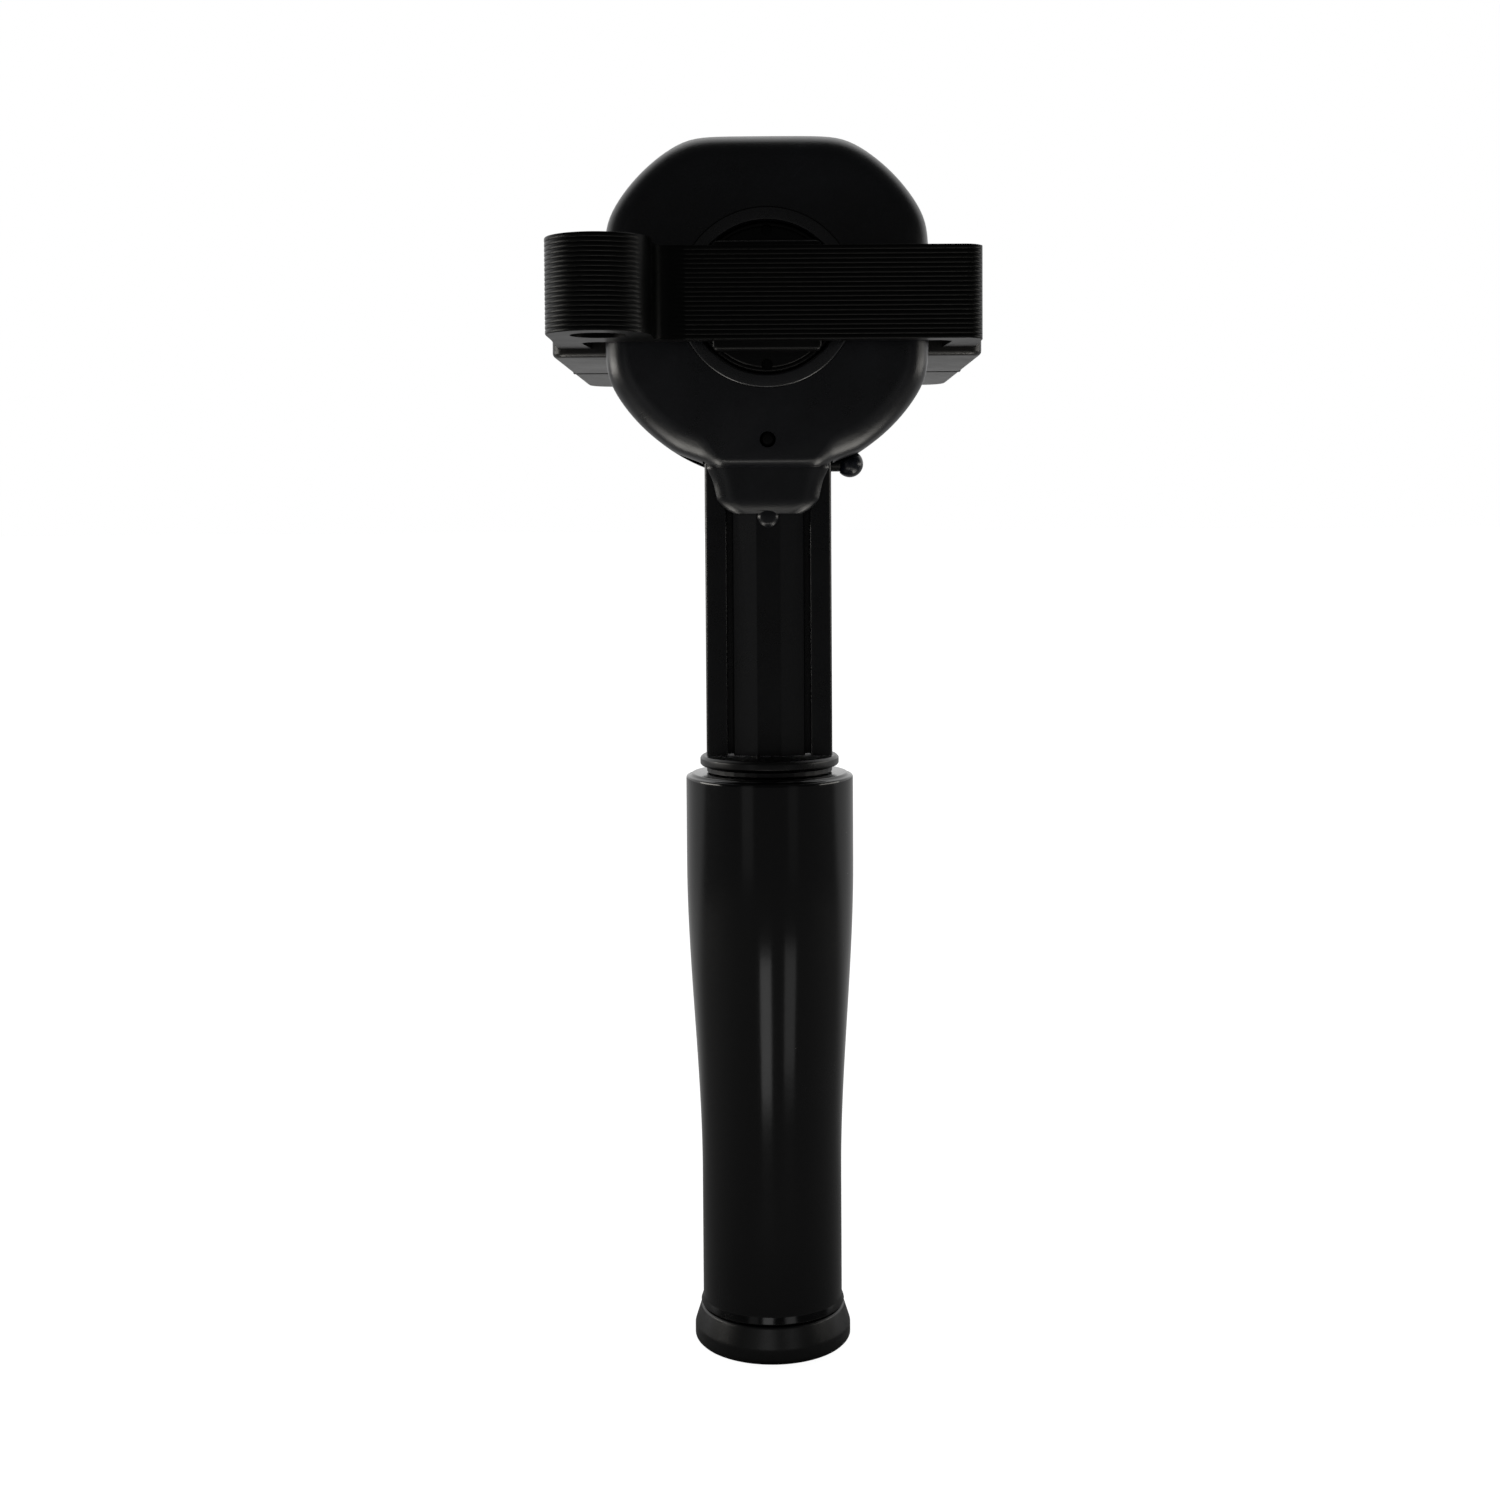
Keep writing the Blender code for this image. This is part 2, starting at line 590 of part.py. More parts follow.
def make_drive():
    steel = material("drive_steel", (0.5, 0.5, 0.52), 0.3, 1.0)
    ball_steel = material("ball_steel", (0.7, 0.7, 0.72), 0.15, 1.0)
    spring_steel = material("drive_spring_steel", (0.4, 0.4, 0.42), 0.35, 1.0)
    washer_steel = material("drive_washer_steel", (0.5, 0.5, 0.52), 0.35, 1.0)

    square = square_outline(DRIVE_SQUARE, DRIVE_CORNER)
    edges = (DRIVE_SHOULDER_EDGE, DRIVE_END_EDGE)
    spindle = slab("drive_spindle", square, -DRIVE_LENGTH, 0, "Y", steel, *edges, 2)
    shank_start = (0, -DRIVE_LENGTH + JOIN_DEPTH, 0)
    join(spindle, rod("spindle_shank", shank_radius, shank_start, (0, head_rear_y, 0), segments=32))
    tang = square_outline(TANG_SQUARE, TANG_CORNER, 1)
    tang_front_y = head_front_y + TANG_FRONT_COVER
    tang_rear_y = head_rear_y + JOIN_DEPTH
    join(spindle, slab("spindle_tang", tang, tang_front_y, tang_rear_y, "Y", None, TANG_END_EDGE, 0, 1))

    ball_radius = DRIVE_BALL_DIAMETER / 2
    ball_hole = ball_radius + GAP
    ball_y = -DRIVE_LENGTH / 2
    ball_z = DRIVE_SQUARE / 2 + DRIVE_BALL_STANDOUT - ball_radius
    floor_z = -DRIVE_SQUARE / 4
    cut(spindle, rod("drive_ball_hole", ball_hole, (0, ball_y, floor_z), (0, ball_y, DRIVE_SQUARE)))
    ball("drive_detent_ball", ball_radius, (0, ball_y, ball_z), ball_steel)
    wire = DRIVE_SPRING_WIRE
    spring_start = (0, ball_y, floor_z + wire)
    spring_end = (0, ball_y, ball_z - ball_radius - wire)
    spring("drive_detent_spring", ball_radius - wire, wire, 5, spring_start, spring_end, spring_steel)

    washer_y = -DRIVE_LENGTH - GAP
    washer_start = (0, washer_y - DRIVE_WASHER_THICKNESS, 0)
    washer_radius = DRIVE_WASHER_DIAMETER / 2
    tube("drive_washer", bush_inner, washer_radius, washer_start, (0, washer_y, 0), washer_steel)
    return spindle


def ball(name, radius, centre, finish):
    steps = 10
    profile = [
        (0 if step in (0, steps) else radius * math.sin(math.pi * step / steps),
         -radius * math.cos(math.pi * step / steps))
        for step in range(steps + 1)
    ]
    return turn(name, profile, centre, (0, 0, 1), finish, 20)


def gear_outline():
    """Symmetric ratchet teeth, one tooth on the arm's line, drawn anticlockwise."""
    tip = TOOTH_TIP_RADIUS
    root = tip - TOOTH_DEPTH
    outline = []
    for tooth in range(TOOTH_COUNT):
        middle = -math.pi / 2 + tooth * tooth_pitch
        for share, radius in ((-0.28, root), (-0.15, tip), (0.15, tip), (0.28, root)):
            angle = middle + share * tooth_pitch
            outline.append(Vector((radius * math.cos(angle), radius * math.sin(angle))))
    return outline


def make_hub(spindle):
    steel = material("hub_steel", (0.02, 0.02, 0.021), 0.4, 0.6)
    screw_steel = material("hub_screw_steel", (0.4, 0.4, 0.42), 0.3, 1.0)
    hub = slab("ratchet_hub", gear_outline(), works_front_y, works_rear_y, "Y", steel)
    disc_profile = [
        (0, 0),
        (JOURNAL_RADIUS - DISC_EDGE, 0),
        (JOURNAL_RADIUS, DISC_EDGE),
        (JOURNAL_RADIUS, HEAD_WALL + JOIN_DEPTH),
        (0, HEAD_WALL + JOIN_DEPTH),
    ]
    join(hub, turn("hub_disc", disc_profile, (0, head_front_y, 0), DRIVE_AXIS))
    journal_start = (0, works_rear_y - JOIN_DEPTH, 0)
    journal_end = (0, head_rear_y - GAP, 0)
    join(hub, rod("hub_rear_journal", REAR_JOURNAL_RADIUS, journal_start, journal_end, segments=32))
    boss = square_outline(BOSS_SQUARE, BOSS_CORNER)
    join(hub, slab("hub_boss", boss, boss_front_y, head_front_y + JOIN_DEPTH, "Y", None, BOSS_EDGE, 0, 2))
    socket = square_outline(TANG_SQUARE + 2 * GAP, TANG_CORNER, 1)
    socket_front_y = head_front_y + TANG_FRONT_COVER - GAP
    cut(hub, slab("hub_socket", socket, socket_front_y, head_rear_y + CUT_MARGIN, "Y"))
    head = (BOLT_HEAD_DIAMETER, BOLT_HEAD_HEIGHT)
    screw_start = (0, boss_front_y + HEAD_SINK, 0)
    screw("hub_screw", screw_start, DRIVE_AXIS, HUB_SCREW_DIAMETER, head, HUB_SCREW_LENGTH, screw_steel,
          (hub, spindle))
    for side, tag in ((-1, "low"), (1, "high")):
        hole_start = (0, head_front_y - CUT_MARGIN, side * KEY_HOLE_REACH)
        hole_end = (0, head_front_y + KEY_HOLE_DEPTH, side * KEY_HOLE_REACH)
        cut(hub, rod("key_hole_" + tag, KEY_HOLE_RADIUS, hole_start, hole_end))


# ---- Head casing ------------------------------------------------------------------------------
def head_outline(count=72):
    """A circle flattened softly at its top, sides and lower lip."""
    sharpness = HEAD_CORNER_SHARPNESS
    outline = []
    for index in range(count):
        angle = 2 * math.pi * index / count
        across = max(abs(math.cos(angle)), 1e-6)
        upright = max(abs(math.sin(angle)), 1e-6)
        flat = HEAD_TOP if math.sin(angle) > 0 else HEAD_LIP
        limits = (HEAD_RADIUS, HEAD_HALF_WIDTH / across, flat / upright)
        radius = sum((HEAD_RADIUS / limit) ** sharpness for limit in limits) ** (-1 / sharpness) * HEAD_RADIUS
        outline.append(Vector((radius * math.cos(angle), radius * math.sin(angle))))
    return outline


def neck(name, face_y, inner_y, finish=None):
    """The tail that laps over the arm, waisted like a bottle's neck, from inside the head down."""
    steps = 8
    start_z = -HEAD_LIP + NECK_ROOT
    rings = []
    for step in range(steps + 1):
        share = step / steps
        z = start_z + (neck_end_z - start_z) * share
        below_lip = max(0.0, min(1.0, (-HEAD_LIP - z) / NECK_LENGTH))
        sweep = math.sin(below_lip * math.pi / 2)
        half = (NECK_TOP_WIDTH + (NECK_FOOT_WIDTH - NECK_TOP_WIDTH) * sweep) / 2
        front = face_y + (inner_y - face_y) * NECK_FALL_SHARE * below_lip ** 2
        depth = inner_y - front
        edge = abs(depth) * NECK_ROUND_SHARE
        sense = 1 if depth > 0 else -1
        ring = [Vector((-half, inner_y, z)), Vector((half, inner_y, z))]
        for turn_step in range(5):
            angle = math.pi / 2 * turn_step / 4
            x = half - edge * (1 - math.cos(angle))
            ring.append(Vector((x, front + sense * edge * (1 - math.sin(angle)), z)))
        for turn_step in range(4, -1, -1):
            angle = math.pi / 2 * turn_step / 4
            x = -half + edge * (1 - math.cos(angle))
            ring.append(Vector((x, front + sense * edge * (1 - math.sin(angle)), z)))
        rings.append(ring)
    return loft(name, rings, finish)


def casing_screw_places():
    reach = (gear_cavity + HEAD_RADIUS) / 2
    return [(reach * math.cos(math.radians(turned)), reach * math.sin(math.radians(turned)))
            for turned in CASING_SCREW_ANGLES]


def neck_screw_places():
    return [(side * NECK_SCREW_X, neck_end_z + NECK_SCREW_RISE) for side in (-1, 1)]


def pawl_pocket(name, low_y, high_y):
    half = PAWL_POCKET_WIDTH / 2
    return box(name, (-half, low_y, arm_top_z + GAP), (half, high_y, 0))


def arm_pocket(name, low_y, high_y):
    half = arm_half + GAP
    return box(name, (-half, low_y, arm_end_z), (half, high_y, arm_top_z + 2 * GAP))


def selector_recess(name):
    """The way that the knob needs, in the casing's shoulder and in the arm's flange."""
    radius = SELECTOR_KNOB_DIAMETER / 2 + 2 * GAP
    inner_x = SELECTOR_KNOB_REACH - SELECTOR_TRAVEL - radius
    return rod(name, radius, (inner_x, head_seam_y, selector_z), (HEAD_RADIUS, head_seam_y, selector_z))


def rod_passage(name):
    """The way of the rod's plain end through the casing's other shoulder."""
    radius = SELECTOR_ROD_DIAMETER / 2 + 2 * GAP
    return rod(name, radius, (-HEAD_RADIUS, head_seam_y, selector_z), (0, head_seam_y, selector_z))


def make_head():
    nylon = material("head_nylon", (0.014, 0.014, 0.015), 0.42)
    rear_nylon = material("head_rear_nylon", (0.014, 0.014, 0.015), 0.45)
    ring_nylon = material("hub_ring_acetal", (0.02, 0.02, 0.022), 0.35)
    rear_ring_nylon = material("rear_ring_acetal", (0.02, 0.02, 0.022), 0.35)
    half_seam = SEAM / 2
    front = slab("head_front_shell", head_outline(), head_front_y, head_seam_y - half_seam, "Y", nylon,
                 HEAD_FRONT_EDGE, 0, 4)
    join(front, neck("front_neck", head_front_y + NECK_STEP, cavity_front_y + JOIN_DEPTH))
    nub_start = (0, cavity_front_y - NECK_NUB_FACE, neck_end_z)
    nub_end = (0, cavity_front_y + 2 * JOIN_DEPTH, neck_end_z)
    join(front, rod("neck_nub", NECK_NUB_RADIUS, nub_start, nub_end, segments=20))
    rear = slab("head_rear_shell", head_outline(), head_seam_y + half_seam, head_rear_y, "Y", rear_nylon,
                0, HEAD_REAR_EDGE, 2)
    join(rear, neck("rear_neck", head_rear_y - NECK_REAR_STEP, cavity_rear_y - JOIN_DEPTH))

    shells = (
        (front, "front", cavity_front_y, head_seam_y + CUT_MARGIN),
        (rear, "rear", head_seam_y - CUT_MARGIN, cavity_rear_y),
    )
    for shell, tag, low_y, high_y in shells:
        cut(shell, rod("gear_cavity_" + tag, gear_cavity, (0, low_y, 0), (0, high_y, 0), segments=32))
        cut(shell, pawl_pocket("pawl_pocket_" + tag, low_y, high_y))
        cut(shell, arm_pocket("arm_pocket_" + tag, low_y, high_y))
        cut(shell, selector_recess("knob_way_" + tag))
        cut(shell, rod_passage("rod_way_" + tag))

    def through_front(name, radius, z, segments):
        start = (0, head_front_y - CUT_MARGIN, z)
        cut(front, rod(name, radius, start, (0, cavity_front_y + CUT_MARGIN, z), segments=segments))

    def through_rear(name, radius, z, segments):
        start = (0, cavity_rear_y - CUT_MARGIN, z)
        cut(rear, rod(name, radius, start, (0, head_rear_y + CUT_MARGIN, z), segments=segments))

    through_front("front_ring_seat", ring_outer + GAP, 0, 32)
    through_rear("rear_ring_seat", rear_ring_outer + GAP, 0, 32)
    ring_front_y = head_front_y - RING_PROUD
    tube("hub_ring", ring_inner, ring_outer, (0, ring_front_y, 0), (0, cavity_front_y, 0), ring_nylon, 48)
    tube("hub_rear_ring", rear_ring_inner, rear_ring_outer, (0, cavity_rear_y, 0),
         (0, head_rear_y - GAP, 0), rear_ring_nylon, 48)

    pin_steel = material("pawl_pin_steel", (0.45, 0.45, 0.46), 0.3, 1.0)
    pin_radius = PAWL_PIN_DIAMETER / 2
    through_front("pawl_pin_hole_front", pin_radius + GAP, pawl_z, 16)
    through_rear("pawl_pin_hole_rear", pin_radius + GAP, pawl_z, 16)
    pin_start = (0, head_front_y + PAWL_PIN_SHORT, pawl_z)
    rod("pawl_pin", pin_radius, pin_start, (0, head_rear_y - PAWL_PIN_SHORT, pawl_z), pin_steel)
    return front, rear


def fasten_head(front, rear, arm):
    """Six screws from the rear: four round the gear, two in the neck through the arm."""
    steel = material("casing_screw_steel", (0.4, 0.4, 0.42), 0.3, 1.0)
    head = (SCREW_HEAD_DIAMETER, SCREW_HEAD_HEIGHT)
    start_y = head_rear_y - SCREW_SINK
    round_gear = [(place, HEAD_WALL, (rear, front)) for place in casing_screw_places()]
    in_neck = [(place, NECK_STEP + NECK_SCREW_COVER, (rear, front, arm)) for place in neck_screw_places()]
    for number, ((x, z), cover, hosts) in enumerate(round_gear + in_neck):
        name = "casing_screw_%d" % (number + 1)
        length = start_y - SCREW_HEAD_HEIGHT - (head_front_y + cover) - GAP
        screw(name, (x, start_y, z), (0, -1, 0), SCREW_DIAMETER, head, length, steel, hosts)


# ---- Pawl and selector ------------------------------------------------------------------------
def pawl_outline():
    """The rocker pawl about its pin, upright between its two settings, drawn anticlockwise.

    Its right horn is laid out where it sits in a tooth gap, then turned back to the middle.
    """
    gap_angle = PAWL_TOOTH_GAP * tooth_pitch
    outward = Vector((math.sin(gap_angle), -math.cos(gap_angle)))
    sideways = Vector((math.cos(gap_angle), math.sin(gap_angle)))
    centre = Vector((0, PAWL_AXIS_DROP))
    tip = centre + outward * (TOOTH_TIP_RADIUS - TOOTH_DEPTH * 0.7)
    base = centre + outward * (TOOTH_TIP_RADIUS + 0.0006)
    engaged = [
        base + sideways * PAWL_HORN_BASE - Vector((0, PAWL_HORN_BASE)),
        base + sideways * PAWL_HORN_NECK,
        tip + sideways * PAWL_HORN_TIP,
        tip - sideways * PAWL_HORN_TIP,
        base - sideways * PAWL_HORN_NECK,
        base - sideways * PAWL_HORN_BASE - Vector((0, PAWL_HORN_NECK)),
    ]
    back = Matrix.Rotation(-pawl_tilt, 2)
    horn = [back @ point for point in engaged]
    waist = [Vector((PAWL_BOSS_RADIUS * 0.5, PAWL_BOSS_RADIUS * 1.15))]
    tail_end = -(tail_reach + 0.0001)
    boss = []
    for step in range(7):
        angle = math.radians(-62 + 84 * step / 6)
        boss.append(Vector((PAWL_BOSS_RADIUS * math.cos(angle), PAWL_BOSS_RADIUS * math.sin(angle))))
    tail_corner = PAWL_TAIL_HALF / 2
    tail = [Vector((tail_corner, tail_end)), Vector((PAWL_TAIL_HALF, tail_end + tail_corner))]
    right = tail + boss + horn + waist
    left = [Vector((-point.x, point.y)) for point in reversed(right)]
    return right + left


def make_pawl():
    steel = material("pawl_steel", (0.3, 0.3, 0.31), 0.35, 1.0)
    half = PAWL_THICKNESS / 2
    tilt = Matrix.Rotation(pawl_tilt, 2)
    outline = [tilt @ point for point in pawl_outline()]
    hinge = Vector((0, head_seam_y, pawl_z))
    pawl = slab("pawl", outline, -half, half, "Y", steel)
    pawl.location = hinge
    reach = half + CUT_MARGIN
    hole = rod("pawl_bore", PAWL_PIN_DIAMETER / 2 + GAP, (0, -reach, 0), (0, reach, 0))
    hole.location = hinge
    cut(pawl, hole)


def make_selector():
    steel = material("selector_steel", (0.4, 0.4, 0.42), 0.3, 1.0)
    knob_plastic = material("selector_knob_plastic", (0.006, 0.007, 0.02), 0.25)
    ball_steel = material("selector_ball_steel", (0.7, 0.7, 0.72), 0.15, 1.0)
    spring_steel = material("selector_spring_steel", (0.4, 0.4, 0.42), 0.35, 1.0)
    radius = SELECTOR_ROD_DIAMETER / 2
    knob_radius = SELECTOR_KNOB_DIAMETER / 2
    groove = SELECTOR_GROOVE_DEPTH
    detent_x = arm_half - ARM_FLANGE
    rod_end = SELECTOR_KNOB_REACH - knob_radius / 3
    ball_seat = 3 * groove
    profile = [(0, -arm_half), (radius - groove, -arm_half), (radius, -arm_half + groove)]
    for middle in (detent_x, detent_x + SELECTOR_TRAVEL):
        profile += [(radius, middle - ball_seat), (radius - groove, middle), (radius, middle + ball_seat)]
    profile += [(radius, rod_end), (0, rod_end)]
    origin = (0, head_seam_y, selector_z)
    bar = turn("selector_rod", profile, origin, (1, 0, 0), steel, 24)
    notch_x = SELECTOR_TRAVEL / 2
    notch_half = SELECTOR_NOTCH_WIDTH / 2
    cut(bar, box("selector_notch", (notch_x - notch_half, head_seam_y - 0.004, selector_z - radius * 0.5),
                 (notch_x + notch_half, head_seam_y + 0.004, selector_z + 0.004)))
    knob_centre = Vector((SELECTOR_KNOB_REACH, head_seam_y, selector_z))
    knob = ball("selector_knob", knob_radius, knob_centre, knob_plastic)
    socket_start = knob_centre - Vector((knob_radius + CUT_MARGIN, 0, 0))
    cut(knob, rod("knob_socket", radius + GAP, socket_start, (rod_end + GAP, head_seam_y, selector_z)))

    ball_radius = SELECTOR_BALL_DIAMETER / 2
    ball_z = selector_z - (radius - groove) - GAP - ball_radius
    ball("selector_detent_ball", ball_radius, (detent_x, head_seam_y, ball_z), ball_steel)
    wire = SELECTOR_SPRING_WIRE
    floor_z = ball_z - ball_radius - SELECTOR_SPRING_LENGTH
    spring_start = (detent_x, head_seam_y, floor_z + wire)
    spring_end = (detent_x, head_seam_y, ball_z - ball_radius - wire)
    spring("selector_detent_spring", ball_radius - wire, wire, 5, spring_start, spring_end, spring_steel)
    return detent_x, floor_z


# ---- Arm --------------------------------------------------------------------------------------
def arm_outline():
    """The arm's section, front and back alike: a faceted middle rib, a channel and a flange each side."""
    middle = (works_front_y + works_rear_y) / 2
    half_depth = (works_rear_y - works_front_y) / 2
    ridge = ARM_RIDGE / 2
    rib = arm_half - ARM_FLANGE - ARM_CHANNEL
    flange = arm_half - ARM_FLANGE
    web = half_depth - ARM_CHANNEL_DEPTH
    facet = half_depth - ARM_FACET_FALL
    face = half_depth - ARM_FLANGE_STEP
    edge = ARM_EDGE
    quarter = [
        (arm_half, 0),
        (arm_half, face - edge),
        (arm_half - edge, face),
        (flange, face),
        (flange, web),
        (rib, web),
        (rib, facet),
        (ridge, half_depth),
    ]
    right_back = [Vector((x, middle + y)) for x, y in quarter]
    left_back = [Vector((-x, middle + y)) for x, y in reversed(quarter)]
    left_front = [Vector((-x, middle - y)) for x, y in quarter[1:]]
    right_front = [Vector((x, middle - y)) for x, y in reversed(quarter[1:])]
    return right_back + left_back + left_front + right_front


def make_arm(detent_x, detent_floor_z):
    nylon = material("arm_nylon", (0.013, 0.013, 0.014), 0.4)
    arm = slab("arm", arm_outline(), arm_end_z, arm_top_z, "Z", nylon)
    rod_radius = SELECTOR_ROD_DIAMETER / 2
    window = PAWL_BOSS_RADIUS + PAWL_WINDOW_GAP
    window_low = (-window, works_front_y - CUT_MARGIN, selector_z - rod_radius - 2 * GAP)
    cut(arm, box("pawl_window", window_low, (window, works_rear_y + CUT_MARGIN, arm_top_z + CUT_MARGIN)))
    reach = arm_half + CUT_MARGIN
    rod_start = (-reach, head_seam_y, selector_z)
    cut(arm, rod("rod_bore", rod_radius + GAP, rod_start, (reach, head_seam_y, selector_z)))
    cut(arm, selector_recess("knob_way_arm"))
    cut(arm, rod("detent_bore", SELECTOR_BALL_DIAMETER / 2 + GAP, (detent_x, head_seam_y, selector_z),
                 (detent_x, head_seam_y, detent_floor_z)))
    bore_start = on_arm_axis(arm_end_z - CUT_MARGIN)
    bore_end = on_arm_axis(arm_end_z + GRIP_SPINDLE_ROOT + GAP)
    cut(arm, rod("spindle_bore", grip_spindle_radius + GAP, bore_start, bore_end, segments=32))
    return arm


# ---- Grip -------------------------------------------------------------------------------------
def on_arm_axis(z):
    return Vector((0, head_seam_y, z))


def sleeve_radius(drop):
    """The grip's outer radius at a distance below its top: wide, then waisted for the hand."""
    share = (drop - GRIP_TAPER_START) / (GRIP_TAPER_END - GRIP_TAPER_START)
    share = max(0.0, min(1.0, share))
    ease = share * share * (3 - 2 * share)
    return GRIP_TOP_RADIUS + (GRIP_WAIST_RADIUS - GRIP_TOP_RADIUS) * ease


def sleeve_profile():
    profile = [(grip_sleeve_inner, 0), (GRIP_TOP_RADIUS - GRIP_CHAMFER, 0), (GRIP_TOP_RADIUS, GRIP_CHAMFER)]
    steps = 9
    for step in range(steps + 1):
        drop = GRIP_TAPER_START + (GRIP_TAPER_END - GRIP_TAPER_START) * step / steps
        profile.append((sleeve_radius(drop), drop))
    profile.append((GRIP_WAIST_RADIUS, GRIP_LENGTH - GRIP_FOOT_FLARE))
    profile.append((GRIP_FOOT_RADIUS, GRIP_LENGTH))
    profile.append((grip_sleeve_inner, GRIP_LENGTH))
    return profile


def make_grip():
    collar_nylon = material("collar_nylon", (0.012, 0.012, 0.013), 0.4)
    washer_acetal = material("grip_washer_acetal", (0.01, 0.01, 0.011), 0.5)
    steel = material("grip_spindle_steel", (0.5, 0.5, 0.52), 0.3, 1.0)
    bush_acetal = material("grip_bush_acetal", (0.6, 0.6, 0.58), 0.4)
    core_nylon = material("grip_core_nylon", (0.02, 0.02, 0.021), 0.5)
    sleeve_rubber = material("grip_sleeve_rubber", (0.008, 0.009, 0.01), 0.28)
    cap_nylon = material("end_cap_nylon", (0.014, 0.014, 0.015), 0.45)
    washer_steel = material("end_washer_steel", (0.5, 0.5, 0.52), 0.35, 1.0)
    screw_steel = material("end_screw_steel", (0.4, 0.4, 0.42), 0.3, 1.0)

    tube("collar_ring", grip_spindle_radius + GAP, COLLAR_DIAMETER / 2, on_arm_axis(collar_top_z),
         on_arm_axis(collar_end_z), collar_nylon)
    tube("grip_washer", grip_bush_inner, GRIP_WASHER_DIAMETER / 2, on_arm_axis(grip_washer_top_z),
         on_arm_axis(grip_washer_end_z), washer_acetal)

    spindle_top = on_arm_axis(arm_end_z + GRIP_SPINDLE_ROOT)
    spindle = rod("grip_spindle", grip_spindle_radius, spindle_top, on_arm_axis(spindle_end_z), steel, 32)
    for tag, top_z in (("upper", grip_top_z), ("lower", spindle_end_z + GRIP_BUSH_LENGTH)):
        tube("grip_%s_bush" % tag, grip_bush_inner, grip_bush_outer, on_arm_axis(top_z),
             on_arm_axis(top_z - GRIP_BUSH_LENGTH), bush_acetal, 32)
    tube("grip_core", grip_core_inner, grip_core_outer, on_arm_axis(grip_top_z), on_arm_axis(grip_end_z),
         core_nylon)
    turn("grip_sleeve", sleeve_profile(), on_arm_axis(grip_top_z), ARM_AXIS, sleeve_rubber, 48)

    washer_top = on_arm_axis(spindle_end_z - GAP)
    washer_end_z = spindle_end_z - GAP - END_WASHER_THICKNESS
    washer_radius = grip_bush_outer - END_WASHER_SHORT
    tube("end_washer", END_SCREW_DIAMETER / 2 + GAP, washer_radius, washer_top, on_arm_axis(washer_end_z),
         washer_steel, 32)
    screw_start = on_arm_axis(washer_end_z - GAP - END_SCREW_HEAD_HEIGHT)
    head = (BOLT_HEAD_DIAMETER, END_SCREW_HEAD_HEIGHT)
    screw("end_screw", screw_start, (0, 0, 1), END_SCREW_DIAMETER, head, END_SCREW_LENGTH, screw_steel,
          (spindle,))

    plug_radius = grip_core_inner - GAP
    cap_profile = [
        (0, -CAP_PLUG - GAP),
        (plug_radius, -CAP_PLUG - GAP),
        (plug_radius, 0),
        (GRIP_FOOT_RADIUS, 0),
        (CAP_RADIUS, CAP_FLARE),
        (CAP_RADIUS, CAP_FLARE + CAP_RIM - CAP_EDGE),
        (CAP_RADIUS - CAP_EDGE, CAP_FLARE + CAP_RIM),
        (0, CAP_FLARE + CAP_RIM),
    ]
    turn("end_cap", cap_profile, on_arm_axis(cap_top_z), ARM_AXIS, cap_nylon, 48)


def main():
    clear_scene()
    block_front, block_rear = make_block()
    bridge = make_bridge()
    fasten_block(block_front, block_rear, bridge)
    spindle = make_drive()
    make_hub(spindle)
    head_front, head_rear = make_head()
    make_pawl()
    detent_x, detent_floor_z = make_selector()
    arm = make_arm(detent_x, detent_floor_z)
    fasten_head(head_front, head_rear, arm)
    make_grip()


main()
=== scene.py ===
"""Looks of a reversing ratchet winch handle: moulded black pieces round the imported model.

Frame: X to the right, Y away from the user towards the winch, Z up along the hanging arm.
All sizes are metres. Each finished piece has its place in its mesh.
"""

import math

import bmesh
import bpy
from mathutils import Matrix, Vector


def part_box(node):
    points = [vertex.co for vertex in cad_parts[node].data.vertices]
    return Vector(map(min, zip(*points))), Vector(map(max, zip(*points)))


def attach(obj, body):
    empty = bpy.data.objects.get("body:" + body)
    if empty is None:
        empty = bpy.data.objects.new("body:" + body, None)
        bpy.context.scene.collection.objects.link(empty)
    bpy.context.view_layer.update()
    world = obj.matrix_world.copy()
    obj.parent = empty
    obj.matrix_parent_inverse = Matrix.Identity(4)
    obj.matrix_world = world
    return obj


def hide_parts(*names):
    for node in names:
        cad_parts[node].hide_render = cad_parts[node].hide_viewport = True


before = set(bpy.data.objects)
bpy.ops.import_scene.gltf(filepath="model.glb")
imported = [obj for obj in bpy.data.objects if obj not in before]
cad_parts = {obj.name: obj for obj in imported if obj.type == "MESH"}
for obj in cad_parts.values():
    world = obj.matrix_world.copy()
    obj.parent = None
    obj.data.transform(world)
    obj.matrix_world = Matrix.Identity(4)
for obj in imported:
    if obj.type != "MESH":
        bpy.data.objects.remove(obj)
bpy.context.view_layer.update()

# ---- Fits and small sizes -----------------------------------------------------------------------
GAP = 0.0003                    # between neighbouring pieces
CUT_MARGIN = 0.0020             # how far a cutter passes the face that it opens
SHARP_ANGLE = 34                # degrees, above which an edge stays crisp

# ---- Bearing block ------------------------------------------------------------------------------
BLOCK_FRONT_CORNER = 0.0030
BLOCK_REAR_CORNER = 0.0060
BLOCK_EDGE = 0.0011
BLOCK_SEAM_CHAMFER = 0.0003
BLOCK_BORE = 0.0073

# ---- Screws: head, head height, shank ------------------------------------------------------------
BLOCK_SCREW = (0.0070, 0.0040, 0.0040)
CASING_SCREW = (0.0055, 0.0018, 0.0030)
WAY_START = 0.0040              # how far a screw's way starts above its head
SCREW_SEGMENTS = 32

